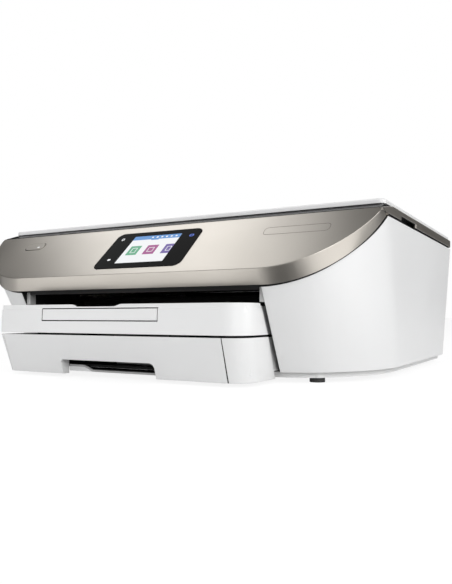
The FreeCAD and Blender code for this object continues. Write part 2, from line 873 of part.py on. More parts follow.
def flap_span(side):
    """X limits of a hinge knuckle of the flap on one side."""
    if side > 0:
        return flap_x1 - flap_knuckle_width, flap_x1
    return flap_x0, flap_x0 + flap_knuckle_width


def make_paper_tray():
    """Lower tray for the paper stack: floor, side walls, low rear wall and rounded front corners."""
    floor_top = lower_floor_z + lower_floor
    left = flap_x0 - flap_gap
    right = flap_x1 + flap_gap
    front_y = tray_front_y + lower_front_room
    body = lower_front().cut(box(left, right, -depth, 0, 0, casing_top))
    apron = prism_z(tray_outline(0, tray_front_y + lower_lean, tray_half - lower_taper, tray_wall / 2),
                    lower_floor_z, floor_top)
    body = body.fuse(apron.cut([behind_front(), box(left, right, -depth, front_y, 0, casing_top)]))
    pan = box(tray_x0, tray_x1, front_y, lower_rear_y, lower_floor_z,
              floor_top + lower_side_height)
    pan = pan.cut(box(tray_x0 + tray_wall, tray_x1 - tray_wall, front_y - cut_margin,
                      lower_rear_y - tray_wall, floor_top, casing_top))
    rear = box(tray_x0, tray_x1, lower_rear_y - tray_wall - cut_margin,
               lower_rear_y + cut_margin, floor_top + lower_rear_height, casing_top)
    well_x0 = notch_x0 + well_side_gap
    well_x1 = notch_x1 - well_side_gap
    well_z = lower_floor_z - well_drop
    well_y = front_y + well_depth
    well = box(well_x0, well_x1, front_y - cut_margin, well_y - lower_floor, 0, floor_top + cut_margin)
    sill = box(well_x0, well_x1, front_y - well_front, well_y, well_z, well_z + lower_floor)
    riser = box(well_x0, well_x1, well_y - lower_floor, well_y, well_z, floor_top)
    pinion = rod_z(floor_top, rack_z + rack_height, 0, guide_centre_y, motor_shaft_radius)
    body = body.fuse(pan.cut([rear, well])).fuse(pinion).fuse(sill.fuse(riser))
    y, z = flap_axis()
    for side in (-1, 1):
        inner = flap_span(side)[0] if side > 0 else flap_span(side)[1]
        edge = right if side > 0 else left
        outer = edge + side * flap_lug
        body = body.fuse(rod_x(min(inner, outer), max(inner, outer), y, z, flap_pin_radius))
        lug = box(min(edge, outer), max(edge, outer), y - flap_knuckle_radius, front_y + cut_margin,
                  z - flap_pin_radius * 2, floor_top)
        body = body.fuse(lug)
    return body


def make_tray_flap():
    """Front of the paper tray that folds down for long paper, with a finger notch at its foot."""
    body = lower_front().common(box(flap_x0, flap_x1, -depth, 0, 0, casing_top))
    top = lower_z0 + notch_height
    notch = [(notch_x0, 0), (notch_x0, top - notch_corner / 2), (notch_x0 + notch_corner / 2, top),
             (notch_x1 - notch_corner, top), (notch_x1 - notch_corner / 3, top - notch_corner / 3),
             (notch_x1, top - notch_corner), (notch_x1, 0)]
    body = body.cut(prism_y(notch, tray_front_y - cut_margin, 0))
    cheek_y = tray_front_y + lower_front_room - notch_cheek_gap
    for x in (notch_x0 - notch_cheek, notch_x1):
        cheek = box(x, x + notch_cheek, tray_front_y, cheek_y, lower_z0, top)
        body = body.fuse(cheek.cut(outside_front()))
    y, z = flap_axis()
    for side in (-1, 1):
        x0, x1 = flap_span(side)
        eye = rod_x(x0, x1, y, z, flap_knuckle_radius)
        root = box(x0, x1, y - flap_knuckle_radius * 2, y, z, z + flap_knuckle_radius)
        body = body.fuse(eye.fuse(root.cut(outside_front())))
        body = body.cut(rod_x(x0 - cut_margin, x1 + cut_margin, y, z, flap_pin_radius + shaft_gap))
    return body


def outside_front():
    """Everything in front of the paper tray's leaning face."""
    lean = lower_lean / lower_height
    near = tray_front_y - cut_margin - depth
    at_zero = tray_front_y + lower_lean + lower_z0 * lean
    corners = [(at_zero, 0), (tray_front_y, lower_top), (near, lower_top), (near, 0)]
    return prism_x(corners, -width, width)


# Gears and racks

def tooth_halves():
    """Half thickness of a tooth at its tip and at its root."""
    half = (math.pi * gear_module / 2 - gear_backlash) / 2
    flank = math.tan(math.radians(20))
    return half - gear_addendum * flank, half + gear_dedendum * flank


def gear(teeth, face, bore, half_turn):
    """A spur gear in the XY plane with a tooth, or with half_turn a gap, on the X axis."""
    pitch = gear_module * teeth / 2
    tip = pitch + gear_addendum
    root = pitch - gear_dedendum
    tip_half, root_half = tooth_halves()
    step = 2 * math.pi / teeth
    points = []
    for i in range(teeth):
        middle = i * step + (step / 2 if half_turn else 0)
        for radius, half in ((root, -root_half), (tip, -tip_half), (tip, tip_half), (root, root_half)):
            angle = middle + half / radius
            points.append(V(radius * math.cos(angle), radius * math.sin(angle), 0))
    body = Part.Face(Part.makePolygon(points + points[:1])).extrude(V(0, 0, face))
    return body.cut(rod_z(-cut_margin, face + cut_margin, 0, 0, bore)) if bore else body


def along_x(shape, x, y, z):
    """A shape drawn along Z, turned to lie along X and placed."""
    shape.Placement = FreeCAD.Placement(V(x, y, z), FreeCAD.Rotation(V(1, 1, 1), 120))
    return shape


def rack(z0, z1):
    """A rack along X behind the guide pinion, with a gap facing the middle of the pinion."""
    tip_half, root_half = tooth_halves()
    pitch_y = guide_centre_y + gear_module * guide_pinion_teeth / 2
    tip = pitch_y - gear_addendum
    root = pitch_y + gear_dedendum
    step = math.pi * gear_module
    start = -step * rack_overlap
    points = []
    for i in range(int((guide_half - start) / step) - 1):
        x = start + (i + 0.5) * step
        points += [(x - root_half, root), (x - tip_half, tip), (x + tip_half, tip), (x + root_half, root)]
    points += [(guide_half, root), (guide_half, root + rack_thickness), (start, root + rack_thickness),
               (start, root)]
    corners = [V(x, y, z0) for x, y in points]
    return Part.Face(Part.makePolygon(corners + corners[:1])).extrude(V(0, 0, z1 - z0))


def make_guide_right():
    """Paper width guide with its rack; the plate stands clear of the other guide's rack."""
    top = rack_z + rack_height
    bar = rack(rack_z, top)
    y = guide_centre_y + gear_module * guide_pinion_teeth / 2 + gear_dedendum
    foot = box(guide_half - guide_thickness, guide_half + guide_thickness, y, y + rack_thickness, rack_z,
               top + cut_margin)
    plate = box(guide_half, guide_half + guide_thickness, guide_centre_y - guide_length / 2,
                guide_centre_y + guide_length / 2, top + slide_gap, rack_z + guide_height)
    return bar.fuse([foot, plate]).removeSplitter()


def make_guide_left():
    body = make_guide_right()
    body.rotate(V(0, guide_centre_y, 0), V(0, 0, 1), 180)
    return body


def make_guide_pinion():
    body = gear(guide_pinion_teeth, rack_height, motor_shaft_radius + shaft_gap, False)
    body.translate(V(0, guide_centre_y, rack_z))
    return body


def make_length_guide():
    """Stop that slides against the front edge of the paper."""
    plate = box(-length_guide_half, length_guide_half, length_guide_y - guide_thickness, length_guide_y,
                rack_z, rack_z + guide_height)
    foot = box(-length_guide_half, length_guide_half, length_guide_y, length_guide_y + length_guide_foot,
               rack_z, rack_z + guide_thickness)
    return plate.fuse(foot).removeSplitter()


# Inner frame and paper path

def make_side_frame_left():
    """Inner wall beside the trays, which also carries the feed motor."""
    return side_frame(-opening_half - side_frame_thickness)


def make_side_frame_right():
    return side_frame(opening_half)


def side_frame(x0):
    """Inner wall from x0: front edge follows the raked casing, top dips under the carriage."""
    x1 = x0 + side_frame_thickness
    low_top = side_frame_top - side_frame_dip
    foot_top = casing_z0 + wall + seat_gap
    foot_y = front_bottom_y + flange_width + side_frame_setback
    corners = [(foot_y, casing_z0), (foot_y, foot_top), (front_at(foot_top) + side_frame_setback, foot_top),
               (front_at(side_frame_top) + side_frame_setback, side_frame_top),
               (carriage_path_y0, side_frame_top),
               (carriage_path_y0, low_top), (carriage_path_y1, low_top), (carriage_path_y1, side_frame_top),
               (side_frame_rear_y, side_frame_top), (side_frame_rear_y, casing_z0)]
    body = prism_x(corners, x0, x1)
    bearings = [(feed_roller_y, roller_z, journal_radius), (exit_roller_y, roller_z, journal_radius),
                (pick_pivot_y, pick_pivot_z, pick_pivot_radius)]
    for y, z, radius in bearings:
        body = body.cut(rod_x(x0 - cut_margin, x1 + cut_margin, y, z, radius + shaft_gap))
    return body


def make_gear_bracket():
    """Upright plate outside the gear train, with the outer bearings and the idler's stub."""
    top = roller_z + bracket_rise
    front = exit_roller_y - bracket_margin
    profile = [(idler_y, casing_z0), (feed_pinion_y, casing_z0), (feed_pinion_y, top), (front, top),
               (front, roller_z - bracket_margin)]
    body = prism_x(profile, bracket_x0, bracket_x1)
    for y in (feed_roller_y, exit_roller_y):
        body = body.cut(rod_x(bracket_x0 - cut_margin, bracket_x1 + cut_margin, y, roller_z,
                              journal_radius + shaft_gap))
    return body.fuse(rod_x(bracket_x1, gear_x + bracket_gap, idler_y, roller_z, journal_radius))


def make_print_deck():
    """Black roof over the output slot, between the side frames."""
    plate = box(-opening_half, opening_half, deck_front_y, carriage_path_y0, throat_top - deck_thickness,
                throat_top)
    lip_half = opening_half - pillar_width
    lip = box(-lip_half, lip_half, deck_front_y, deck_front_y + deck_thickness,
              throat_top - deck_thickness * 2, throat_top)
    return plate.fuse(lip).removeSplitter()


def make_throat_pillars():
    """Light grey posts at both ends of the output slot."""
    post = box(opening_half - pillar_width, opening_half, deck_front_y, deck_front_y + pillar_depth,
               upper_top + pillar_lift, throat_top - deck_thickness)
    return Part.makeCompound(both_sides(post))


def make_platen():
    """Ribbed support under the print heads."""
    body = box(-opening_half, opening_half, platen_front_y, platen_rear_y, platen_top - platen_thickness,
               platen_top)
    pitch = platen_thickness * 2
    count = int(opening_half / pitch)
    for i in range(-count, count):
        x = (i + 0.5) * pitch
        body = body.cut(box(x - pitch / 4, x + pitch / 4, platen_front_y + tray_wall,
                            platen_rear_y - tray_wall, platen_top - tray_wall, platen_top + cut_margin))
    return body


def roller(y, radius, left_end):
    """Paper roller with journals through both side frames; the left one carries a gear."""
    half = opening_half - roller_end_gap
    right_end = opening_half + side_frame_thickness + journal_end
    body = rod_x(-half, half, y, roller_z, radius)
    return body.fuse(rod_x(left_end, right_end, y, roller_z, journal_radius)).removeSplitter()


def make_feed_roller():
    return roller(feed_roller_y, feed_roller_radius, bracket_x0)


def make_exit_roller():
    return roller(exit_roller_y, exit_roller_radius, bracket_x0)


def train_gear(teeth, y, bore, half_turn):
    return along_x(gear(teeth, gear_width, bore, half_turn), gear_x - gear_width, y, roller_z)


def make_feed_gear():
    return train_gear(feed_teeth, feed_roller_y, journal_radius, False)


def make_exit_gear():
    return train_gear(feed_teeth, exit_roller_y, journal_radius, False)


def make_idler_gear():
    return train_gear(idler_teeth, idler_y, journal_radius + shaft_gap, True)


def make_feed_pinion():
    """Motor pinion with its shaft."""
    end = (feed_motor_x - side_frame_out) / 2
    shaft = rod_x(gear_x, end, feed_pinion_y, roller_z, motor_shaft_radius)
    return train_gear(feed_pinion_teeth, feed_pinion_y, 0, True).fuse(shaft)


def make_feed_motor():
    """Closed motor on the outside of the left side frame, with a bore for its shaft."""
    end = (feed_motor_x - side_frame_out) / 2 + seat_gap
    body = rod_x(feed_motor_x, -side_frame_out, feed_pinion_y, roller_z, motor_radius)
    return body.cut(rod_x(feed_motor_x - cut_margin, end, feed_pinion_y, roller_z,
                          motor_shaft_radius + shaft_gap))


def make_rear_guide():
    """Curved wall that turns the paper from the tray up to the feed roller."""
    outer = rod_x(-opening_half, opening_half, rear_guide_y, rear_guide_z, rear_guide_radius)
    inner = rod_x(-opening_half, opening_half, rear_guide_y, rear_guide_z,
                  rear_guide_radius - rear_guide_thickness)
    return outer.cut([inner, box(-width, width, -depth, rear_guide_y, 0, casing_top)])


def pick_roller_place():
    return pick_pivot_y + pick_reach_y, pick_pivot_z - pick_drop_z


def make_pick_arm():
    """Swinging arm on a cross rod, with a fork and an axle for the pick roller."""
    y, z = pick_roller_place()
    end = opening_half + side_frame_thickness
    half = pick_roller_width / 2 + seat_gap
    rod = rod_x(-end, end, pick_pivot_y, pick_pivot_z, pick_pivot_radius)
    axle = rod_x(-half - pick_arm_thickness, half + pick_arm_thickness, y, z, pick_axle_radius)
    grow = pick_arm_width / 2
    profile = [(pick_pivot_y - grow, pick_pivot_z + grow), (y + grow, z + grow), (y + grow, z - grow / 2),
               (pick_pivot_y - grow, pick_pivot_z - grow)]
    cheek = prism_x(profile, half, half + pick_arm_thickness)
    bridge = box(-half, half, pick_pivot_y - grow, pick_pivot_y + grow, pick_pivot_z, pick_pivot_z + grow)
    return rod.fuse([axle, bridge] + both_sides(cheek)).removeSplitter()


def make_pick_roller():
    y, z = pick_roller_place()
    half = pick_roller_width / 2
    bore = rod_x(-half, half, y, z, pick_axle_radius + shaft_gap)
    return rod_x(-half, half, y, z, pick_roller_radius).cut(bore)


# Carriage and its drive

def make_carriage_rail():
    """Steel beam across the machine with tabs for the rod and shelves for the belt pulleys."""
    z0 = side_frame_top
    body = box(-rail_half, rail_half, rail_y, rail_y + rail_thickness, z0, z0 + rail_height)
    tab = box(rail_half - rail_tab, rail_half, rail_y - rail_tab_reach, rail_y + rail_thickness,
              shelf_z, z0 + rail_height + encoder_height)
    shelf = box(pulley_x - shelf_half, rail_half, rail_y - rail_tab_reach, rail_y, shelf_z,
                shelf_z + shelf_thickness)
    body = body.fuse(both_sides(tab) + both_sides(shelf))
    body = body.cut(rod_x(-width, width, rod_y_place, rod_z_place, guide_rod_radius))
    body = body.cut(rod_z(0, casing_top, pulley_x, rod_y_place, motor_shaft_radius + shaft_gap))
    stub = rod_z(shelf_z, belt_z + belt_height, -pulley_x, rod_y_place, motor_shaft_radius)
    return body.fuse(stub).removeSplitter()


def make_guide_rod():
    return rod_x(-rail_half, rail_half, rod_y_place, rod_z_place, guide_rod_radius)


def make_encoder_strip():
    z = side_frame_top + rail_height
    half = rail_half - rail_tab
    y = rail_y - encoder_thickness * 2
    return box(-half, half, y - encoder_thickness, y, z - encoder_height, z)


def make_carriage_motor():
    length = motor_length
    body = rod_z(shelf_z - length, shelf_z, pulley_x, rod_y_place, motor_radius)
    return body.cut(rod_z(shelf_z - length / 2, shelf_z + cut_margin, pulley_x, rod_y_place,
                          motor_shaft_radius + shaft_gap))


def make_drive_pulley():
    wheel = rod_z(belt_z, belt_z + belt_height, pulley_x, rod_y_place, pulley_radius)
    shaft = rod_z(shelf_z - motor_length / 2 + seat_gap, belt_z + belt_height, pulley_x, rod_y_place,
                  motor_shaft_radius)
    return wheel.fuse(shaft).removeSplitter()


def make_idler_pulley():
    wheel = rod_z(belt_z, belt_z + belt_height, -pulley_x, rod_y_place, pulley_radius)
    return wheel.cut(rod_z(0, casing_top, -pulley_x, rod_y_place, motor_shaft_radius + shaft_gap))


def belt_loop(radius, z0, z1):
    """A flat-sided loop round both pulleys."""
    ends = [rod_z(z0, z1, x, rod_y_place, radius) for x in (-pulley_x, pulley_x)]
    return box(-pulley_x, pulley_x, rod_y_place - radius, rod_y_place + radius, z0, z1).fuse(ends)


def make_timing_belt():
    inner = pulley_radius + belt_slack
    outer = belt_loop(inner + belt_thickness, belt_z, belt_z + belt_height)
    hollow = belt_loop(inner, belt_z - cut_margin, belt_z + belt_height + cut_margin)
    return outer.cut(hollow).removeSplitter()


def pocket_width():
    return (carriage_width - carriage_wall * 3) / 2


def pocket_x(index):
    """Left side of a cartridge pocket."""
    left = carriage_park_x - carriage_width / 2 + carriage_wall
    return left + index * (pocket_width() + carriage_wall)


def make_print_carriage():
    """Carriage with two open pockets, a bush for the rod and a clip round the belt."""
    left = carriage_park_x - carriage_width / 2
    right = left + carriage_width
    top = carriage_z0 + carriage_height
    body = box(left, right, carriage_front_y, carriage_rear_y, carriage_z0, top)
    bush = box(left, right, carriage_rear_y, bush_rear_y, rod_z_place - bush_half, rod_z_place + bush_half)
    belt_y = rod_y_place - pulley_radius - belt_slack - belt_thickness
    low = belt_z - slide_gap
    high = belt_z + belt_height + slide_gap
    clip = box(carriage_park_x - bush_half, carriage_park_x + bush_half, carriage_rear_y,
               belt_y + belt_thickness * 3, low - carriage_floor, high + carriage_floor)
    body = body.fuse([bush, clip])
    for index in range(2):
        x = pocket_x(index)
        body = body.cut(box(x, x + pocket_width(), carriage_front_y + carriage_wall,
                            carriage_rear_y - carriage_wall, carriage_z0 + carriage_floor, top + cut_margin))
        middle = x + pocket_width() / 2
        y = nozzle_centre_y()
        body = body.cut(box(middle - nozzle_x / 2 - slide_gap, middle + nozzle_x / 2 + slide_gap,
                            y - nozzle_y / 2 - slide_gap, y + nozzle_y / 2 + slide_gap, 0, top))
    slot = box(left, right, belt_y - slide_gap, belt_y + belt_thickness + slide_gap, low, high)
    bore = rod_x(left - cut_margin, right + cut_margin, rod_y_place, rod_z_place,
                 guide_rod_radius + shaft_gap)
    return body.cut([slot, bore])


def nozzle_centre_y():
    return (carriage_front_y + carriage_rear_y) / 2


def cartridge(index):
    """Ink cartridge with its print head below."""
    x0 = pocket_x(index) + cartridge_gap
    x1 = pocket_x(index) + pocket_width() - cartridge_gap
    z0 = carriage_z0 + carriage_floor
    tank = box(x0, x1, carriage_front_y + carriage_wall + cartridge_gap,
               carriage_rear_y - carriage_wall - cartridge_gap, z0, z0 + cartridge_height - latch_thickness)
    middle = (x0 + x1) / 2
    y = nozzle_centre_y()
    head = box(middle - nozzle_x / 2, middle + nozzle_x / 2, y - nozzle_y / 2, y + nozzle_y / 2,
               z0 - nozzle_length, z0)
    return tank.fuse(head).removeSplitter()


def make_black_cartridge():
    return cartridge(0)


def make_colour_cartridge():
    return cartridge(1)


def make_cartridge_latches():
    """Two latch plates that hold the cartridges down."""
    z0 = carriage_z0 + carriage_floor + cartridge_height - latch_thickness
    latches = []
    rear = carriage_rear_y - carriage_wall
    for index in range(2):
        x = pocket_x(index) + cartridge_gap
        latches.append(box(x, x + pocket_width() - cartridge_gap * 2, rear - latch_length, rear,
                           z0, z0 + latch_thickness))
    return Part.makeCompound(latches)


def make_service_station():
    """Capping station beside the paper path under the parked carriage."""
    x0 = opening_half + side_frame_thickness
    top = platen_top
    body = box(x0, station_end_x, station_front_y, station_rear_y, top - station_height, top)
    y = nozzle_centre_y()
    for index in range(2):
        middle = pocket_x(index) + pocket_width() / 2
        cap = box(middle - nozzle_x / 2, middle + nozzle_x / 2, y - nozzle_y / 2, y + nozzle_y / 2,
                  top - carriage_floor, top + cut_margin)
        body = body.cut(cap)
    return body


# Electronics, sockets, rear cover and screws

def make_power_supply():
    body = box(supply_x0, supply_x1, supply_y0, supply_y1, casing_z0, casing_z0 + supply_height)
    return body.makeFillet(wall, [e for e in body.Edges if e.BoundBox.ZMin > casing_z0 + cut_margin])


def board_posts():
    return [(x, y) for x in (board_x0 + board_post_inset, board_x1 - board_post_inset)
            for y in (board_y0 + board_post_inset, board_y1 - board_post_inset)]


def make_main_board():
    """Circuit board with its main parts."""
    top = board_z + board_thickness
    body = box(board_x0, board_x1, board_y0, board_y1, board_z, top)
    middle = (board_x0 + board_x1) / 2
    for i in range(3):
        y = board_y0 + board_post_inset * 2 + i * chip_height * 7
        body = body.fuse(box(middle - chip_height * 2, middle + chip_height * 2, y, y + chip_height * 4,
                             top, top + chip_height))
    return body


def make_usb_port():
    """Metal data socket on the board, open at the rear wall."""
    z0 = board_z + board_thickness
    y1 = casing_rear_y
    y0 = y1 - port_depth
    body = box(port_x - port_width / 2, port_x + port_width / 2, y0, y1, z0, z0 + port_height)
    return body.cut(box(port_x - port_width / 2 + port_wall, port_x + port_width / 2 - port_wall,
                        y0 + port_wall, y1 + cut_margin, z0 + port_wall, z0 + port_height - port_wall))


def make_power_inlet():
    """Mains inlet in the rear wall."""
    half = inlet_width / 2
    tall = inlet_height / 2
    y1 = casing_rear_y
    body = box(inlet_x - half, inlet_x + half, y1 - inlet_depth, y1, inlet_z - tall, inlet_z + tall)
    rim = box(inlet_x - half - inlet_flange, inlet_x + half + inlet_flange, y1, y1 + inlet_flange_thickness,
              inlet_z - tall - inlet_flange, inlet_z + tall + inlet_flange)
    socket = rounded_plate(-inlet_socket_width / 2, inlet_socket_width / 2, -inlet_socket_height / 2,
                           inlet_socket_height / 2, 0, inlet_depth, inlet_socket_height / 2 - seat_gap)
    socket.rotate(V(0, 0, 0), V(1, 0, 0), 90)
    socket.translate(V(inlet_x, y1 + inlet_flange_thickness + cut_margin, inlet_z))
    return body.fuse(rim).cut(socket).removeSplitter()


def rear_wall_openings():
    """Openings of the casing's rear wall for the cover, the inlet and the data socket."""
    y0 = casing_rear_y - wall - cut_margin
    y1 = casing_rear_y + cut_margin
    gap = seat_gap
    z = board_z + board_thickness
    return [box(-cover_half, cover_half, y0, y1, cover_z0, cover_z1),
            box(inlet_x - inlet_width / 2 - gap, inlet_x + inlet_width / 2 + gap, y0, y1,
                inlet_z - inlet_height / 2 - gap, inlet_z + inlet_height / 2 + gap),
            box(port_x - port_width / 2 - gap, port_x + port_width / 2 + gap, y0, y1, z - gap,
                z + port_height + gap)]


def make_rear_cover():
    """White cover over the paper path's rear opening."""
    plug = box(-cover_half + seat_gap, cover_half - seat_gap, casing_rear_y - wall, casing_rear_y,
               cover_z0 + seat_gap, cover_z1 - seat_gap)
    plate = rounded_plate(-cover_half - cover_flange, cover_half + cover_flange, cover_z0 - cover_flange,
                          cover_z1 + cover_flange, 0, cover_thickness, cover_flange)
    plate.rotate(V(0, 0, 0), V(1, 0, 0), 90)
    plate.translate(V(0, casing_rear_y + cover_thickness, 0))
    return plug.fuse(plate).removeSplitter()


def make_foot_screws():
    """Screws under the feet that hold the plinth."""
    return Part.makeCompound([rod_z(foot_height, foot_height + screw_depth, x, y, screw_radius)
                              for x, y in foot_places()])


nodes = {
    "base_casing": make_base_casing,
    "base_plate": make_base_plate,
    "rubber_feet": make_rubber_feet,
    "plate_screws": make_foot_screws,
    "side_frame_left": make_side_frame_left,
    "side_frame_right": make_side_frame_right,
    "gear_bracket": make_gear_bracket,
    "print_deck": make_print_deck,
    "throat_pillars": make_throat_pillars,
    "rear_cover": make_rear_cover,
    "power_inlet": make_power_inlet,
    "usb_port": make_usb_port,
    "main_board": make_main_board,
    "power_supply": make_power_supply,
    "platen": make_platen,
    "feed_roller": make_feed_roller,
    "feed_gear": make_feed_gear,
    "idler_gear": make_idler_gear,
    "exit_roller": make_exit_roller,
    "exit_gear": make_exit_gear,
    "feed_motor": make_feed_motor,
    "feed_pinion": make_feed_pinion,
    "rear_guide": make_rear_guide,
    "pick_arm": make_pick_arm,
    "pick_roller": make_pick_roller,
    "carriage_rail": make_carriage_rail,
    "guide_rod": make_guide_rod,
    "encoder_strip": make_encoder_strip,
    "carriage_motor": make_carriage_motor,
    "drive_pulley": make_drive_pulley,
    "idler_pulley": make_idler_pulley,
    "timing_belt": make_timing_belt,
    "print_carriage": make_print_carriage,
    "black_cartridge": make_black_cartridge,
    "colour_cartridge": make_colour_cartridge,
    "cartridge_latches": make_cartridge_latches,
    "service_station": make_service_station,
    "paper_tray": make_paper_tray,
    "tray_flap": make_tray_flap,
    "width_guide_right": make_guide_right,
    "width_guide_left": make_guide_left,
    "guide_pinion": make_guide_pinion,
    "length_guide": make_length_guide,
    "output_tray": make_output_tray,
    "tray_extender": make_tray_extender,
    "front_panel": make_front_panel,
    "display_glass": make_display_glass,
    "display_module": make_display_module,
    "power_button": make_power_button,
    "scanner_frame": make_scanner_frame,
    "scanner_glass": make_scanner_glass,
    "scanner_tub": make_scanner_tub,
    "scan_rod": make_scan_rod,
    "scan_bar": make_scan_bar,
    "scanner_lid": make_scanner_lid,
    "lid_pad": make_lid_pad,
}

os.makedirs("parts", exist_ok=True)
for name, make in nodes.items():
    make().exportStep(os.path.join("parts", name + ".step"))
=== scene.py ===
import json
import math

import bpy
from mathutils import Matrix, Vector, kdtree

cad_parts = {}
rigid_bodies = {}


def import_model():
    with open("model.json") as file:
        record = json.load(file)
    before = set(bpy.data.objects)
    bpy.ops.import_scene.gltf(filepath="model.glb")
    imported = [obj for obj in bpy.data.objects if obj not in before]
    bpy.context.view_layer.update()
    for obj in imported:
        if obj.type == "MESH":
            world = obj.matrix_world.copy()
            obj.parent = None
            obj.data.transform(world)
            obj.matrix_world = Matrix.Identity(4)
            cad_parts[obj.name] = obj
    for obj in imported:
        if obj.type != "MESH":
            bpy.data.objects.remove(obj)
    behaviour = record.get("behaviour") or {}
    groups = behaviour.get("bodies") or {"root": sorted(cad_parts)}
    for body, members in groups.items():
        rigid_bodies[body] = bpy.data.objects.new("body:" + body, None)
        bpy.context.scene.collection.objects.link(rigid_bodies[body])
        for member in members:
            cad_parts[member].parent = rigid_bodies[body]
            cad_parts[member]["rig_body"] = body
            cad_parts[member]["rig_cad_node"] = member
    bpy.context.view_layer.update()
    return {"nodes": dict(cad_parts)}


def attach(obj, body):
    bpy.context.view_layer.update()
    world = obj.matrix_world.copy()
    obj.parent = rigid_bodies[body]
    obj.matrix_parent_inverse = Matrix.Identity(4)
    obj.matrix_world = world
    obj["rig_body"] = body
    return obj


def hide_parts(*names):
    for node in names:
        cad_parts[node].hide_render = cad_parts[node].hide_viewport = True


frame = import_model()


# Base plate
# The flat tray that closes the machine from below, moulded in the same white plastic as the casing.
# It sits on four feet and carries the inner frame, so little of it shows.

def shader_group(name, inputs, outputs):
    """An empty shader node group with the named value inputs and the named outputs."""
    group = bpy.data.node_groups.new(name, "ShaderNodeTree")
    group.interface.new_socket("Vector", in_out="INPUT", socket_type="NodeSocketVector")
    for socket_name, default in inputs:
        socket = group.interface.new_socket(socket_name, in_out="INPUT", socket_type="NodeSocketFloat")
        socket.default_value = default
    for socket_name in outputs:
        group.interface.new_socket(socket_name, in_out="OUTPUT", socket_type="NodeSocketFloat")
    entry = group.nodes.new("NodeGroupInput")
    leave = group.nodes.new("NodeGroupOutput")
    return group, entry.outputs, leave.inputs


def noise_node(tree, vector, scale, detail):
    """A noise texture on the given coordinates; a linked scale comes in as a socket."""
    noise = tree.nodes.new("ShaderNodeTexNoise")
    noise.inputs["Detail"].default_value = detail
    tree.links.new(vector, noise.inputs["Vector"])
    if isinstance(scale, (int, float)):
        noise.inputs["Scale"].default_value = scale
    else:
        tree.links.new(scale, noise.inputs["Scale"])
    return noise.outputs["Fac"]


GRAIN_SCALE = 1600.0
CLOUD_SCALE = 9.0
GRAIN_DETAIL = 2.0
CLOUD_DETAIL = 4.0
moulded_skin, skin_in, skin_out = shader_group(
    "moulded_skin", [("Grain Scale", GRAIN_SCALE), ("Cloud Scale", CLOUD_SCALE)], ["Grain", "Cloud"])
for effect, detail in (("Grain", GRAIN_DETAIL), ("Cloud", CLOUD_DETAIL)):
    pattern = noise_node(moulded_skin, skin_in["Vector"], skin_in[effect + " Scale"], detail)
    moulded_skin.links.new(pattern, skin_out[effect])


def bare_material(name):
    """A node material with its tree, its Principled shader and the Object coordinates."""
    material = bpy.data.materials.new(name)
    material.use_nodes = True
    tree = material.node_tree
    shader = tree.nodes["Principled BSDF"]
    place = tree.nodes.new("ShaderNodeTexCoord").outputs["Object"]
    return material, tree, shader, place


def blend_colours(tree, factor, first, second):
    """A colour that runs from the first to the second with a varying factor."""
    mix = tree.nodes.new("ShaderNodeMix")
    mix.data_type = "RGBA"
    tree.links.new(factor, mix.inputs["Factor"])
    mix.inputs["A"].default_value = (*first, 1.0)
    mix.inputs["B"].default_value = (*second, 1.0)
    return mix.outputs["Result"]


NOISE_LOW = 0.3
NOISE_HIGH = 0.7


def spread_value(tree, value, low, high):
    """A varying value brought from the middle of its run to the span from low to high."""
    span = tree.nodes.new("ShaderNodeMapRange")
    span.inputs["From Min"].default_value = NOISE_LOW
    span.inputs["From Max"].default_value = NOISE_HIGH
    span.inputs["To Min"].default_value = low
    span.inputs["To Max"].default_value = high
    tree.links.new(value, span.inputs["Value"])
    return span.outputs["Result"]


def raise_surface(tree, height, shader, strength, distance):
    """A bump from a varying height into the shader's normal."""
    bump = tree.nodes.new("ShaderNodeBump")
    bump.inputs["Strength"].default_value = strength
    bump.inputs["Distance"].default_value = distance
    tree.links.new(height, bump.inputs["Height"])
    tree.links.new(bump.outputs["Normal"], shader.inputs["Normal"])


GRAIN_HEIGHT = 0.0002


def moulded_plastic(name, colour, shade, gloss, grain_scale=GRAIN_SCALE, grain_depth=0.12):
    """Injection moulded plastic: a fine spark eroded grain, clouded colour and uneven gloss."""
    material, tree, shader, place = bare_material(name)
    skin = tree.nodes.new("ShaderNodeGroup")
    skin.node_tree = moulded_skin
    skin.inputs["Grain Scale"].default_value = grain_scale
    skin.inputs["Cloud Scale"].default_value = CLOUD_SCALE
    tree.links.new(place, skin.inputs["Vector"])
    tree.links.new(blend_colours(tree, skin.outputs["Cloud"], colour, shade), shader.inputs["Base Color"])
    tree.links.new(spread_value(tree, skin.outputs["Cloud"], *gloss), shader.inputs["Roughness"])
    raise_surface(tree, skin.outputs["Grain"], shader, grain_depth, GRAIN_HEIGHT)
    return material


def dress(material, *nodes):
    """The CAD nodes take this material in their own slots."""
    for node in nodes:
        mesh = frame["nodes"][node].data
        mesh.materials.clear()
        mesh.materials.append(material)


case_white = moulded_plastic("case_white", (0.80, 0.80, 0.795), (0.77, 0.77, 0.768), (0.34, 0.42))
plate_white = moulded_plastic("plate_white", (0.76, 0.76, 0.755), (0.70, 0.70, 0.69), (0.45, 0.55),
                              grain_scale=900.0, grain_depth=0.2)
dress(plate_white, "base_plate")


# Rubber feet and plate screws
# Four soft black rubber pads glued into the plate, each with a steel screw behind it.
# They are moulded rubber with a dull, dusty face.

rubber_black = moulded_plastic("rubber_black", (0.016, 0.016, 0.016), (0.03, 0.03, 0.029), (0.7, 0.9),
                               grain_scale=700.0, grain_depth=0.4)
dress(rubber_black, "rubber_feet")


LINE_DETAIL = 3.0
LINE_DEPTH = 0.08
LINE_HEIGHT = 0.0001


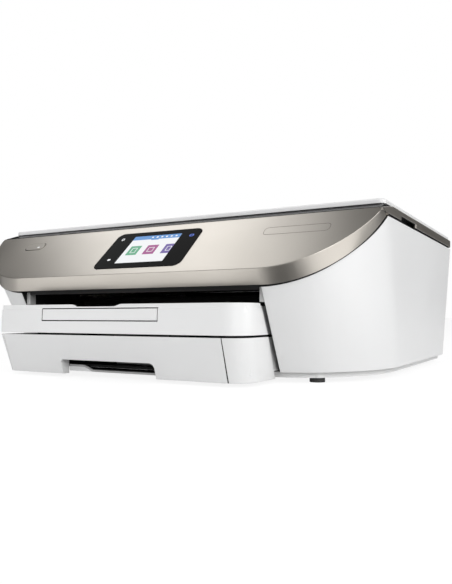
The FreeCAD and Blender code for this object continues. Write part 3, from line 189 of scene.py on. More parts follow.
def bare_metal(name, colour, shade, gloss, stretch):
    """Rolled or drawn metal: fine lines along one axis in the gloss and in the surface."""
    material, tree, shader, place = bare_material(name)
    mapping = tree.nodes.new("ShaderNodeMapping")
    mapping.inputs["Scale"].default_value = stretch
    tree.links.new(place, mapping.inputs["Vector"])
    lines = noise_node(tree, mapping.outputs["Vector"], 1.0, LINE_DETAIL)
    tree.links.new(blend_colours(tree, lines, colour, shade), shader.inputs["Base Color"])
    tree.links.new(spread_value(tree, lines, *gloss), shader.inputs["Roughness"])
    raise_surface(tree, lines, shader, LINE_DEPTH, LINE_HEIGHT)
    shader.inputs["Metallic"].default_value = 1.0
    return material


steel_drawn = bare_metal("steel_drawn", (0.62, 0.62, 0.63), (0.48, 0.48, 0.50), (0.2, 0.36),
                         stretch=(20.0, 1500.0, 1500.0))
dress(steel_drawn, "plate_screws")


# Base casing
# The white outer shell, one deep moulding with a raked front, drafted sides and rounded corners.
# Its edges are broken by a small radius, as every moulded edge is, so they catch a line of light.
# An edge too close to others for that radius stays sharp, because its faces would fold over.

MERGE = 1e-6
FLAT_ANGLE = math.radians(0.4)
SHARP_ANGLE = math.radians(32.0)
ROUND_STEPS = 3
FOLDED = -0.5
FOLD_REACH = 0.0025
FOLD_ROUNDS = (0.003, 0.003, 0.008, 0.02, 0.5, 0.5, 0.5, 0.5)


def faces_by_edge(mesh):
    """The faces that meet at each edge."""
    faces = {}
    for face in mesh.polygons:
        for key in face.edge_keys:
            faces.setdefault(key, []).append(face)
    return faces


def sharp_edges(mesh, angle):
    """The numbers of the edges between two faces that meet at more than an angle."""
    faces = faces_by_edge(mesh)
    found = []
    for edge in mesh.edges:
        pair = faces.get(edge.key, [])
        if len(pair) == 2 and pair[0].normal.angle(pair[1].normal, 0.0) > angle:
            found.append(edge.index)
    return found


def fold_places(mesh):
    """The middles of the edges at which two faces lie back on each other."""
    places = []
    for key, pair in faces_by_edge(mesh).items():
        if len(pair) == 2 and pair[0].normal.dot(pair[1].normal) < FOLDED:
            places.append((mesh.vertices[key[0]].co + mesh.vertices[key[1]].co) / 2)
    return places


def leave_sharp(mesh, rounded, folds, longest):
    """Edges up to a length that end near a fold aren't rounded."""
    tree = kdtree.KDTree(len(folds))
    for index, place in enumerate(folds):
        tree.insert(place, index)
    tree.balance()
    weights = mesh.attributes["bevel_weight_edge"].data
    for index in rounded:
        ends = [mesh.vertices[end].co for end in mesh.edges[index].vertices]
        if (ends[0] - ends[1]).length > longest:
            continue
        for place in (ends[0], ends[1], (ends[0] + ends[1]) / 2):
            if tree.find(place)[2] < FOLD_REACH:
                weights[index].value = 0.0


def press_flush(piece, low, high, skin):
    """Points inside a box that stick out of the plane through three points of the skin go back to it."""
    first, second, third = [Vector(place) for place in skin]
    outward = (second - first).cross(third - first).normalized()
    if outward.y > 0.0:
        outward.negate()
    for point in piece.data.vertices:
        height = (point.co - first).dot(outward)
        if height > 0.0 and all(low[axis] < point.co[axis] < high[axis] for axis in range(3)):
            point.co -= outward * height


def softened(node, name, radius, angle=SHARP_ANGLE, flush=()):
    """A copy of a CAD node with its sharp edges rounded; it stands for the node on the same body."""
    source = frame["nodes"][node]
    body = source["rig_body"]
    bpy.ops.object.select_all(action="DESELECT")
    piece = source.copy()
    piece.data = source.data.copy()
    piece.name = name
    piece.data.name = name
    piece.parent = None
    del piece["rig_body"]
    del piece["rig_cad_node"]
    bpy.context.scene.collection.objects.link(piece)
    piece.select_set(True)
    bpy.context.view_layer.objects.active = piece
    bpy.ops.mesh.customdata_custom_splitnormals_clear()
    bpy.ops.object.mode_set(mode="EDIT")
    bpy.ops.mesh.select_all(action="SELECT")
    bpy.ops.mesh.remove_doubles(threshold=MERGE)
    bpy.ops.mesh.dissolve_limited(angle_limit=FLAT_ANGLE)
    bpy.ops.object.mode_set(mode="OBJECT")
    weights = piece.data.attributes.new("bevel_weight_edge", "FLOAT", "EDGE")
    rounded = sharp_edges(piece.data, angle)
    for index in rounded:
        weights.data[index].value = 1.0
    rounding = piece.modifiers.new("rounding", "BEVEL")
    rounding.width = radius
    rounding.segments = ROUND_STEPS
    rounding.limit_method = "WEIGHT"
    rounding.use_clamp_overlap = False
    for longest in FOLD_ROUNDS:
        shown = piece.evaluated_get(bpy.context.evaluated_depsgraph_get())
        folds = fold_places(shown.data)
        if not folds:
            break
        leave_sharp(piece.data, rounded, folds, longest)
    bpy.ops.object.modifier_apply(modifier=rounding.name)
    for point in piece.data.vertices:
        near = source.closest_point_on_mesh(point.co)[1]
        if (point.co - near).length > radius:
            point.co = near
    for low, high, skin in flush:
        press_flush(piece, low, high, skin)
    bpy.ops.object.shade_smooth_by_angle(angle=SHARP_ANGLE)
    evened = piece.modifiers.new("evened", "WEIGHTED_NORMAL")
    evened.keep_sharp = True
    bpy.ops.object.modifier_apply(modifier=evened.name)
    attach(piece, body)
    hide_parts(node)
    return piece


def coat(piece, material):
    """The piece takes one material all over."""
    piece.data.materials.clear()
    piece.data.materials.append(material)


def recoat(piece, material, chosen):
    """The faces that the test picks by their middle and normal take a second material."""
    piece.data.materials.append(material)
    last = len(piece.data.materials) - 1
    for face in piece.data.polygons:
        if chosen(face.center, face.normal):
            face.material_index = last


casing = softened("base_casing", "casing_shell", radius=0.0006)
coat(casing, case_white)


# Inner frame, print deck and platen
# Black moulded frames stand on the base plate and carry the rollers; the deck roofs the output slot.
# All of it is matt black plastic, with the ribbed platen under the ink carriage.

# Matt black for the frames; the same material is laid on hidden faces of the white casing as painted shade.
frame_black_and_shade = moulded_plastic("frame_black_and_shade", (0.016, 0.016, 0.016), (0.024, 0.024, 0.024), (0.5, 0.62),
                              grain_scale=1300.0, grain_depth=0.2)
frame_black_and_shade.node_tree.nodes["Principled BSDF"].inputs["Specular IOR Level"].default_value = 0.35
RIM_SLOPE = Vector((0.0, -0.655, 0.756))
CREASE = Vector((0.0, -0.186, 0.098))


def below_panel(place):
    """How far a place lies under the plane of the control panel."""
    return (CREASE - place).dot(RIM_SLOPE)


CASING_EDGE = 0.0161
LEDGE_LEVEL = 0.12
PLATE_LEVEL = 0.012
MOUTH_HALF = 0.14
MOUTH_REAR = -0.1
CHEEK_REACH = 0.0004


def casing_painted_shade(middle, normal):
    """Faces of the white casing on its hidden rim, behind its front wall and on the cheeks of the output
    slot, which take black as painted shade.
    """
    on_rim = below_panel(middle) < CASING_EDGE or (normal.z > 0.6 and middle.z > LEDGE_LEVEL)
    behind_front = normal.y > 0.3 and middle.y < 0.0 and middle.z > PLATE_LEVEL
    by_mouth = abs(abs(middle.x) - MOUTH_HALF) < CHEEK_REACH and middle.y < MOUTH_REAR
    return on_rim or behind_front or (by_mouth and abs(normal.x) > 0.9)


# The white casing's hidden rim, the back of its front wall and the cheeks of the slot take black as painted
# shade.
recoat(casing, frame_black_and_shade, casing_painted_shade)
dress(frame_black_and_shade, "side_frame_left", "side_frame_right", "gear_bracket", "print_deck", "platen",
      "rear_guide", "service_station")


# Posts of the output slot
# Two light grey posts stand at the ends of the slot, between the tray rim and the deck.
# They are plain grey mouldings with rounded edges.

post_grey = moulded_plastic("post_grey", (0.62, 0.62, 0.61), (0.56, 0.56, 0.55), (0.4, 0.5))
posts = softened("throat_pillars", "slot_posts", radius=0.0005)
coat(posts, post_grey)


# Rollers, gears and feed motor
# Steel shafts in rubber sleeves turn the paper; acetal gears join them to the motor on the left frame.
# The rollers run in the bores of the side frames, and the gears are pressed on their ends.

gear_white = moulded_plastic("gear_white", (0.62, 0.61, 0.57), (0.55, 0.54, 0.50), (0.3, 0.4))
dress(rubber_black, "feed_roller", "exit_roller", "pick_roller")
dress(gear_white, "feed_gear", "idler_gear", "exit_gear", "feed_pinion", "guide_pinion", "drive_pulley",
      "idler_pulley")
dress(frame_black_and_shade, "pick_arm")
motor_steel = bare_metal("motor_steel", (0.5, 0.5, 0.51), (0.38, 0.38, 0.4), (0.25, 0.4),
                         stretch=(1500.0, 30.0, 1500.0))
dress(motor_steel, "feed_motor", "carriage_motor")


# Ink carriage and its drive
# A black carriage runs on a ground steel rod and a pressed steel rail, pulled by a toothed belt.
# Its two cartridges are held by grey latches, which carry paper labels with plain spots of colour.

dress(steel_drawn, "carriage_rail", "guide_rod", "scan_rod")
dress(frame_black_and_shade, "print_carriage", "black_cartridge", "colour_cartridge")
dress(post_grey, "cartridge_latches")
dress(rubber_black, "timing_belt")
dress(gear_white, "encoder_strip")


MM = 0.001
CORNER_STEPS = 5


def flat_sheet(name, x0, x1, y0, y1, low, high, corner, rim=0.0):
    """A thin rounded sheet from x0 to x1 and y0 to y1, between two levels, in millimetres.
    With a rim it is an open outline of that width."""
    bpy.ops.object.select_all(action="DESELECT")
    bpy.ops.mesh.primitive_plane_add(size=MM)
    piece = bpy.context.object
    piece.name = name
    piece.data.name = name
    piece.scale = (x1 - x0, y1 - y0, 1.0)
    piece.location = ((x0 + x1) / 2 * MM, (y0 + y1) / 2 * MM, low * MM)
    bpy.ops.object.transform_apply(location=True, rotation=True, scale=True)
    bpy.ops.object.mode_set(mode="EDIT")
    bpy.ops.mesh.select_all(action="SELECT")
    bpy.ops.mesh.bevel(offset=corner * MM, segments=CORNER_STEPS, affect="VERTICES")
    bpy.ops.mesh.select_all(action="SELECT")
    if rim:
        bpy.ops.mesh.inset(thickness=rim * MM)
        bpy.ops.mesh.delete(type="FACE")
        bpy.ops.mesh.select_all(action="SELECT")
    bpy.ops.mesh.extrude_region_move(TRANSFORM_OT_translate={"value": (0.0, 0.0, (high - low) * MM)})
    bpy.ops.mesh.select_all(action="SELECT")
    bpy.ops.mesh.normals_make_consistent(inside=False)
    bpy.ops.object.mode_set(mode="OBJECT")
    return piece


label_paper = moulded_plastic("label_paper", (0.70, 0.70, 0.69), (0.66, 0.66, 0.65), (0.5, 0.6))
label_black = moulded_plastic("label_black", (0.02, 0.02, 0.02), (0.03, 0.03, 0.03), (0.5, 0.6))
label_cyan = moulded_plastic("label_cyan", (0.02, 0.30, 0.50), (0.03, 0.34, 0.55), (0.5, 0.6))
label_magenta = moulded_plastic("label_magenta", (0.50, 0.03, 0.20), (0.55, 0.04, 0.23), (0.5, 0.6))
label_yellow = moulded_plastic("label_yellow", (0.70, 0.52, 0.03), (0.74, 0.56, 0.04), (0.5, 0.6))
LATCH_TOP = 118.0
LABEL_RISE = 0.15
LABEL_CORNER = 1.5
for name, x0, x1, y0, y1, step, colour in (
        ("black_label", 114.0, 142.0, -46.0, -22.0, 0, label_paper),
        ("black_label_spot", 122.0, 134.0, -40.0, -28.0, 1, label_black),
        ("colour_label", 158.0, 186.0, -46.0, -22.0, 0, label_paper),
        ("colour_label_cyan", 161.0, 167.0, -41.0, -27.0, 1, label_cyan),
        ("colour_label_magenta", 169.0, 175.0, -41.0, -27.0, 1, label_magenta),
        ("colour_label_yellow", 177.0, 183.0, -41.0, -27.0, 1, label_yellow)):
    low = LATCH_TOP + step * LABEL_RISE
    label = flat_sheet(name, x0, x1, y0, y1, low, low + LABEL_RISE, LABEL_CORNER)
    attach(label, "carriage")
    coat(label, colour)


# Electronics, sockets and rear cover
# The green board with its black chips and the closed power supply sit beside the trays, on the plate.
# The steel and plastic sockets open to the rear, and a white cover clips over the paper path.

board_green = moulded_plastic("board_green", (0.012, 0.09, 0.03), (0.02, 0.14, 0.05), (0.3, 0.4))
dress(board_green, "display_module")
chip_black = moulded_plastic("chip_black", (0.015, 0.015, 0.016), (0.025, 0.025, 0.026), (0.35, 0.5))
board = softened("main_board", "main_circuit_board", radius=0.0002)
coat(board, board_green)
BOARD_FACE = 0.0188
recoat(board, chip_black, lambda middle, normal: middle.z > BOARD_FACE)
dress(frame_black_and_shade, "power_supply", "power_inlet")
socket_steel = bare_metal("socket_steel", (0.6, 0.6, 0.6), (0.5, 0.5, 0.5), (0.25, 0.4),
                          stretch=(900.0, 900.0, 40.0))
dress(socket_steel, "usb_port")
rear_cover = softened("rear_cover", "rear_access_cover", radius=0.0004)
coat(rear_cover, case_white)


# Paper tray with its flap
# The lower tray is one white moulding; the inside of its pan and well and the faces at the split beside the
# flap take near black as painted shade. Its front face folds down as a flap.
# The corner of its pan and the root of the flap's hinge are pressed flush with the rounded front.

tray_white = moulded_plastic("tray_white", (0.80, 0.80, 0.795), (0.775, 0.775, 0.77), (0.32, 0.4))
# Near black with almost no gloss: painted shade inside the trays and at their splits, and the dark deck of
# the output tray.
tray_black_and_shade = moulded_plastic("tray_black_and_shade", (0.012, 0.012, 0.012), (0.018, 0.018, 0.018), (0.6, 0.7),
                             grain_scale=1100.0, grain_depth=0.2)
tray_black_and_shade.node_tree.nodes["Principled BSDF"].inputs["Specular IOR Level"].default_value = 0.05
TRAY_CORNER = ((0.1335, -0.1858, 0.0090), (0.1347, -0.1847, 0.0173),
               ((0.13287, -0.1855, 0.0098), (0.1345, -0.18155, 0.0098), (0.1345, -0.1855, 0.01754)))
paper_tray = softened("paper_tray", "paper_tray_shell", radius=0.0004, flush=(TRAY_CORNER,))
coat(paper_tray, tray_white)
PAN_LOW = (-0.1347, -0.18, 0.004)
PAN_HIGH = (0.1317, 0.1022, 0.0405)
WELL_LOW = (-0.066, -0.1873, 0.004)
WELL_HIGH = (0.046, -0.18, 0.0405)
SPLIT_X = 0.118
SPLIT_REACH = 0.0012
SPLIT_REAR = -0.16


def within(place, low, high):
    """Whether a place lies in the box between two corners."""
    return all(a < v < b for a, v, b in zip(low, place, high))


def tray_painted_shade(middle, normal):
    """Faces of the tray inside its pan and well, and the one at the split beside the flap, which take near
    black as painted shade.
    """
    in_tray = within(middle, PAN_LOW, PAN_HIGH) or within(middle, WELL_LOW, WELL_HIGH)
    at_split = abs(middle.x - SPLIT_X) < SPLIT_REACH and middle.y < SPLIT_REAR
    return (in_tray and normal.z > -0.5) or (at_split and normal.x < -0.9)


recoat(paper_tray, tray_black_and_shade, tray_painted_shade)
FLAP_ROOT = ((0.1166, -0.1972, 0.0068), (0.1174, -0.1959, 0.0099),
             ((0.11546, -0.19616, 0.007), (0.1172, -0.19591, 0.007), (0.1172, -0.1969, 0.00999)))
flap = softened("tray_flap", "paper_tray_flap", radius=0.0004, flush=(FLAP_ROOT,))
coat(flap, tray_white)
# The flap's face at the split takes near black as painted shade.
recoat(flap, tray_black_and_shade, lambda middle, normal: abs(middle.x - SPLIT_X) < SPLIT_REACH and normal.x > 0.9)


# Front edging of the tray floor
# A light grey edge runs along the finger notch and drops in a curve from the floor into the well.
# The sill behind it is white at the high end and turns near black in the well as painted shade.

edge_grey = moulded_plastic("edge_grey", (0.42, 0.42, 0.415), (0.37, 0.37, 0.365), (0.5, 0.6))
EDGE_RUN = (-0.0635, 0.0435)
EDGE_TOP = (0.0118, 0.0074)
EDGE_BEND = (-0.0465, -0.0315)
EDGE_HEIGHT = 0.0019
EDGE_FRONT = -0.1884
EDGE_DEPTH = 0.0018
EDGE_STEPS = 60
bpy.ops.object.select_all(action="DESELECT")
bpy.ops.mesh.primitive_grid_add(x_subdivisions=EDGE_STEPS, y_subdivisions=1, size=1.0)
edging = bpy.context.object
edging.name = "tray_floor_edging"
edging.data.name = "tray_floor_edging"
for point in edging.data.vertices:
    across = EDGE_RUN[0] + (point.co.x + 0.5) * (EDGE_RUN[1] - EDGE_RUN[0])
    share = min(max((across - EDGE_BEND[0]) / (EDGE_BEND[1] - EDGE_BEND[0]), 0.0), 1.0)
    fall = (1.0 - math.cos(math.pi * share)) / 2.0
    level = EDGE_TOP[0] + fall * (EDGE_TOP[1] - EDGE_TOP[0])
    if point.co.y < 0.0:
        level -= EDGE_HEIGHT
    point.co = (across, EDGE_FRONT, level)
bpy.ops.object.mode_set(mode="EDIT")
bpy.ops.mesh.select_all(action="SELECT")
bpy.ops.mesh.extrude_region_move(TRANSFORM_OT_translate={"value": (0.0, EDGE_DEPTH, 0.0)})
bpy.ops.mesh.select_all(action="SELECT")
bpy.ops.mesh.normals_make_consistent(inside=False)
bpy.ops.object.mode_set(mode="OBJECT")
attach(edging, "paper_tray_body")
coat(edging, edge_grey)
filler = flat_sheet("tray_floor_edging_foot", x0=-63.5, x1=-39.5, y0=-188.2, y1=-186.8, low=8.0, high=9.9,
                    corner=0.2)
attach(filler, "paper_tray_body")
coat(filler, tray_white)
# The sill is coloured from white to near black along its length as painted shade in the well.
WELL_START = (-0.036, -0.034)
SILL_WHITE = (0.80, 0.80, 0.795)
SILL_SHADE = (0.012, 0.012, 0.012)
sill_white_to_shade, tree, shader, place = bare_material("sill_white_to_shade")
parts = tree.nodes.new("ShaderNodeSeparateXYZ")
tree.links.new(place, parts.inputs["Vector"])
well_shade = tree.nodes.new("ShaderNodeMapRange")
well_shade.inputs["From Min"].default_value = WELL_START[0]
well_shade.inputs["From Max"].default_value = WELL_START[1]
tree.links.new(parts.outputs["X"], well_shade.inputs["Value"])
tree.links.new(blend_colours(tree, well_shade.outputs["Result"], SILL_WHITE, SILL_SHADE),
               shader.inputs["Base Color"])
cloud = noise_node(tree, place, CLOUD_SCALE, CLOUD_DETAIL)
tree.links.new(spread_value(tree, cloud, 0.5, 0.6), shader.inputs["Roughness"])
SILL_LOW = (-0.066, -0.1885, 0.004)
SILL_HIGH = (0.046, -0.1875, 0.0095)
recoat(paper_tray, sill_white_to_shade, lambda middle, normal: within(middle, SILL_LOW, SILL_HIGH))


# Paper guides
# Two width guides and a length guide stand on the tray floor, each moulded in one piece in grey.
# The width guides run on a rack each and meet at a pinion, so they keep the paper in the middle.

guide_grey = moulded_plastic("guide_grey", (0.36, 0.36, 0.355), (0.3, 0.3, 0.3), (0.4, 0.5))
dress(guide_grey, "width_guide_left", "width_guide_right", "length_guide")


# Output tray and extender
# The upper tray is a white moulding with a dark deck that catches the prints; the walls of the extender's
# channel take near black as painted shade.
# A flat extender slides in a channel of its front and closes flush with it. The square corner of the
# deck is pressed flush with the rounded front.

SQUARE_ANGLE = math.radians(60.0)
DECK_CORNER = ((0.1335, -0.1956, 0.0600), (0.1348, -0.1940, 0.0682),
               ((0.13341, -0.195, 0.0653), (0.1345, -0.19306, 0.0653), (0.1345, -0.195, 0.06103)))
output_tray = softened("output_tray", "output_tray_shell", radius=0.0004, angle=SQUARE_ANGLE,
                       flush=(DECK_CORNER,))
coat(output_tray, tray_white)
DECK_LEVEL = 0.0675
CHANNEL = ((-0.0832, -0.2052, 0.0535), (0.0547, -0.09, 0.0665))
DECK_REACH = 0.0006


def deck_dark_channel_shade(middle, normal):
    """Faces of the deck that the prints lie on, and those in the extender's channel, which take near black
    as painted shade.
    """
    return (abs(middle.z - DECK_LEVEL) < DECK_REACH and normal.z > 0.7) or within(middle, *CHANNEL)


# The deck takes its dark colour and the channel walls take painted shade.
recoat(output_tray, tray_black_and_shade, deck_dark_channel_shade)
extender = softened("tray_extender", "output_extender", radius=0.0004)
coat(extender, tray_white)


# Scanner tub, glass and scan bar
# Under the glass a black tub holds the scan bar on its steel rod.
# The glass is one clear, slightly green sheet, polished on both faces and glued into the rim.

dress(frame_black_and_shade, "scanner_tub", "scan_bar")
flatbed_glass, tree, shader, place = bare_material("flatbed_glass")
shader.inputs["Base Color"].default_value = (0.86, 0.93, 0.90, 1.0)
shader.inputs["Transmission Weight"].default_value = 1.0
shader.inputs["IOR"].default_value = 1.5
cloud = noise_node(tree, place, 20.0, 3.0)
tree.links.new(spread_value(tree, cloud, 0.01, 0.03), shader.inputs["Roughness"])
dress(flatbed_glass, "scanner_glass")


# Scanner rim
# The dark glossy frame around the glass runs forward as a sloping strip above the control panel.
# It is moulded in black and polished, and pale marks are printed along the left of the glass.

rim_dark, tree, shader, place = bare_material("rim_dark")
cloud = noise_node(tree, place, 14.0, 3.0)
tree.links.new(blend_colours(tree, cloud, (0.022, 0.022, 0.023), (0.030, 0.030, 0.030)),
               shader.inputs["Base Color"])
tree.links.new(spread_value(tree, cloud, 0.22, 0.3), shader.inputs["Roughness"])
shader.inputs["Specular IOR Level"].default_value = 0.1
rim = softened("scanner_frame", "scanner_rim", radius=0.0008)
coat(rim, rim_dark)
RIM_TOP = 155.3
FIRST_TICK = -56.0
TICK_STEP = 20.0
TICK_COUNT = 11
TICK_ENDS = (-160.0, -155.0)
TICK_HALF = 0.3
TICK_RISE = 0.05
TICK_CORNER = 0.1
for count in range(TICK_COUNT):
    middle = FIRST_TICK + count * TICK_STEP
    tick = flat_sheet("glass_tick_%d" % count, *TICK_ENDS, middle - TICK_HALF, middle + TICK_HALF,
                      RIM_TOP, RIM_TOP + TICK_RISE, TICK_CORNER)
    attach(tick, "scanner_unit")
    coat(tick, label_paper)


# Control panel
# One moulding in champagne metallic paint: the sloping face, the lip below it and the band along both
# sides. The inside is bare black plastic, and a thin dark line of painted shade marks the seam down each
# side behind the lip.

def worked_out(tree, operation, *values):
    """A sum of the shader on sockets and plain numbers."""
    node = tree.nodes.new("ShaderNodeMath")
    node.operation = operation
    for index, value in enumerate(values):
        if isinstance(value, float):
            node.inputs[index].default_value = value
        else:
            tree.links.new(value, node.inputs[index])
    return node.outputs["Value"]


panel_champagne, tree, shader, place = bare_material("panel_champagne")
flakes = noise_node(tree, place, 2600.0, 2.0)
cloud = noise_node(tree, place, 12.0, 3.0)
paint = blend_colours(tree, flakes, (0.35, 0.327, 0.295), (0.42, 0.394, 0.357))
# A thin dark line along the seam on each side band is painted shade.
PARTING_NORMAL = (0.0, 0.327, 0.945)
PARTING_LEVEL = 0.1007
PARTING_HALF = 0.00035
PARTING_REAR = -0.1075
BAND_START = 0.2235
along = tree.nodes.new("ShaderNodeVectorMath")
along.operation = "DOT_PRODUCT"
along.inputs[1].default_value = PARTING_NORMAL
tree.links.new(place, along.inputs[0])
line = worked_out(tree, "COMPARE", along.outputs["Value"], PARTING_LEVEL, PARTING_HALF)
parts = tree.nodes.new("ShaderNodeSeparateXYZ")
tree.links.new(place, parts.inputs["Vector"])
breadth = worked_out(tree, "ABSOLUTE", parts.outputs["X"])
on_band = worked_out(tree, "GREATER_THAN", breadth, BAND_START)
ahead = worked_out(tree, "LESS_THAN", parts.outputs["Y"], PARTING_REAR)
seam_painted_shade = worked_out(tree, "MULTIPLY", line, worked_out(tree, "MULTIPLY", on_band, ahead))
paint_and_seam_shade = tree.nodes.new("ShaderNodeMix")
paint_and_seam_shade.data_type = "RGBA"
paint_and_seam_shade.inputs["B"].default_value = (0.02, 0.018, 0.015, 1.0)
tree.links.new(seam_painted_shade, paint_and_seam_shade.inputs["Factor"])
tree.links.new(paint, paint_and_seam_shade.inputs["A"])
tree.links.new(paint_and_seam_shade.outputs["Result"], shader.inputs["Base Color"])
tree.links.new(spread_value(tree, cloud, 0.30, 0.35), shader.inputs["Roughness"])
raise_surface(tree, flakes, shader, 0.06, 0.0001)
shader.inputs["Metallic"].default_value = 0.88
panel = softened("front_panel", "control_panel", radius=0.0006)
coat(panel, panel_champagne)
LIP_EDGE = 0.0136
BAND_FOOT = 0.142
PANEL_MIDDLE = 0.1


def inside_panel(middle, normal):
    """Faces of the panel that look inwards or down, which the paint doesn't reach."""
    if normal.z < -0.9 or (middle.z < BAND_FOOT and below_panel(middle) > LIP_EDGE):
        return True
    forward = -1.0 if middle.y < PANEL_MIDDLE else 1.0
    side = 1.0 if middle.x > 0.0 else -1.0
    return normal.x * side + normal.y * forward < -0.1


recoat(panel, frame_black_and_shade, inside_panel)


# Power key
# A flat rounded key in the same paint, flush with the panel, with a small white light mark.
# It is moulded on its own, sits in an opening of the panel and goes straight in when pressed.

key = softened("power_button", "power_key", radius=0.0003)
coat(key, panel_champagne)
PANEL_SLOPE = math.radians(40.9)
PANEL_PLACE = Matrix.Translation(CREASE) @ Matrix.Rotation(PANEL_SLOPE, 4, "X")


def panel_sheet(name, x0, x1, s0, s1, corner, low, high, rim=0.0):
    """A flat sheet laid on the panel, from s0 to s1 up the slope and from low to high out of it."""
    piece = flat_sheet(name, x0, x1, s0, s1, low, high, corner, rim)
    piece.matrix_world = PANEL_PLACE
    bpy.ops.object.transform_apply(location=True, rotation=True, scale=True)
    return piece


def lit_print(name, colour, shade):
    """A glowing patch of a screen or light: its colour comes from within, with a faint unevenness."""
    material, tree, shader, place = bare_material(name)
    cloud = noise_node(tree, place, 260.0, 2.0)
    tree.links.new(blend_colours(tree, cloud, colour, shade), shader.inputs["Emission Color"])
    tree.links.new(spread_value(tree, cloud, 0.3, 0.4), shader.inputs["Roughness"])
    shader.inputs["Base Color"].default_value = (0.01, 0.01, 0.01, 1.0)
    shader.inputs["Emission Strength"].default_value = 1.0
    shader.inputs["Specular IOR Level"].default_value = 0.1
    return material


light_white = lit_print("light_white", (0.88, 0.89, 0.90), (0.82, 0.83, 0.85))
light_mark = panel_sheet("key_light_mark", x0=-154.0, x1=-150.5, s0=55.2, s1=57.2, corner=0.8, low=0.3,
                         high=0.36)
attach(light_mark, "power_button_body")
coat(light_mark, light_white)


# Bare plate outline
# A thin dark grey rounded line on the right of the panel, around an empty field, is painted shade of a fine
# debossed contour.
# It is laid on the paint as a very thin open outline.

# A darker copy of the champagne paint, laid as painted shade along the contour.
contour_shade_grey = moulded_plastic("contour_shade_grey", (0.13, 0.12, 0.105), (0.11, 0.10, 0.09), (0.45, 0.55))
plate_line = panel_sheet("bare_plate_outline", x0=126.0, x1=188.0, s0=49.0, s1=60.5, corner=4.0, low=0.0,
                         high=0.04, rim=0.45)
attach(plate_line, "scanner_unit")
coat(plate_line, contour_shade_grey)


# Display
# A sheet of black printed glass lies in a recess of the panel. Behind it a colour screen shows a bar and
# three plain tiles, and three small marks are lit beside it.

glass_black, tree, shader, place = bare_material("glass_black")
cloud = noise_node(tree, place, 30.0, 3.0)
tree.links.new(blend_colours(tree, cloud, (0.005, 0.005, 0.005), (0.008, 0.008, 0.008)),
               shader.inputs["Base Color"])
tree.links.new(spread_value(tree, cloud, 0.05, 0.09), shader.inputs["Roughness"])
shader.inputs["Specular IOR Level"].default_value = 0.006
display = softened("display_glass", "display_cover_glass", radius=0.0003)
coat(display, glass_black)
screen_white = lit_print("screen_white", (0.80, 0.81, 0.83), (0.84, 0.85, 0.86))
screen_blue = lit_print("screen_blue", (0.075, 0.24, 0.57), (0.09, 0.27, 0.61))
tile_green = lit_print("tile_green", (0.09, 0.35, 0.20), (0.11, 0.38, 0.22))
tile_magenta = lit_print("tile_magenta", (0.32, 0.065, 0.22), (0.35, 0.075, 0.25))
tile_violet = lit_print("tile_violet", (0.12, 0.08, 0.30), (0.14, 0.09, 0.34))
mark_blue = lit_print("mark_blue", (0.07, 0.15, 0.68), (0.09, 0.18, 0.74))
ON_GLASS = (0.4, 0.44)
ON_SCREEN = (0.44, 0.46)
ON_TILE = (0.46, 0.48)
for name, span, corner, level, rim_width, glow in (
        ("screen_ground", (-20.0, 36.0, 17.0, 61.5), 0.3, ON_GLASS, 0.0, screen_white),
        ("screen_bar", (-20.0, 36.0, 55.0, 61.5), 0.3, ON_SCREEN, 0.0, screen_blue),
        ("screen_bar_tab", (3.0, 12.0, 53.8, 55.0), 0.3, ON_SCREEN, 0.0, screen_blue),
        ("tile_first", (-15.0, -2.0, 29.5, 44.6), 0.6, ON_SCREEN, 0.0, tile_green),
        ("tile_second", (5.2, 18.4, 29.5, 44.6), 0.6, ON_SCREEN, 0.0, tile_magenta),
        ("tile_third", (26.5, 36.0, 29.5, 44.6), 0.6, ON_SCREEN, 0.0, tile_violet),
        ("glyph_first", (-11.6, -5.4, 33.0, 41.2), 0.8, ON_TILE, 0.7, light_white),
        ("glyph_second", (8.4, 15.2, 33.4, 40.8), 0.8, ON_TILE, 0.7, light_white),
        ("glyph_third", (30.0, 35.4, 33.4, 40.8), 0.8, ON_TILE, 0.7, light_white),
        ("mark_home", (-35.6, -32.4, 56.2, 60.0), 0.9, ON_GLASS, 0.8, light_white),
        ("mark_back", (-32.6, -29.0, 22.0, 24.6), 0.8, ON_GLASS, 0.0, light_white),
        ("mark_link", (46.6, 51.4, 55.2, 59.0), 1.4, ON_GLASS, 0.9, mark_blue)):
    sheet = panel_sheet(name, *span, corner, *level, rim_width)
    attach(sheet, "scanner_unit")
    coat(sheet, glow)
BAR_MARKS = 6
FIRST_MARK = 2.0
MARK_STEP = 5.6
MARK_SIDE = 2.2
MARK_FOOT = 57.2
MARK_CORNER = 0.6
for spot in range(BAR_MARKS):
    start = FIRST_MARK + spot * MARK_STEP
    sheet = panel_sheet("bar_mark_%d" % spot, start, start + MARK_SIDE, MARK_FOOT, MARK_FOOT + MARK_SIDE,
                        MARK_CORNER, *ON_TILE)
    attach(sheet, "scanner_unit")
    coat(sheet, light_white)


# Scanner lid
# A thin white moulding, hinged at the rear, that covers the glass.
# A white pressing sheet with a foam back is glued under it.

lid = softened("scanner_lid", "lid_shell", radius=0.0003)
coat(lid, case_white)
foam_white = moulded_plastic("foam_white", (0.82, 0.82, 0.81), (0.78, 0.78, 0.77), (0.8, 0.95),
                             grain_scale=500.0, grain_depth=0.3)
dress(foam_white, "lid_pad")


# Photographer's table
# A pale floor, soft lamps and a white surround, with the camera at the place found for the photograph.
# The cards show only in glossy surfaces, and give the painted panel its run of light and dark.

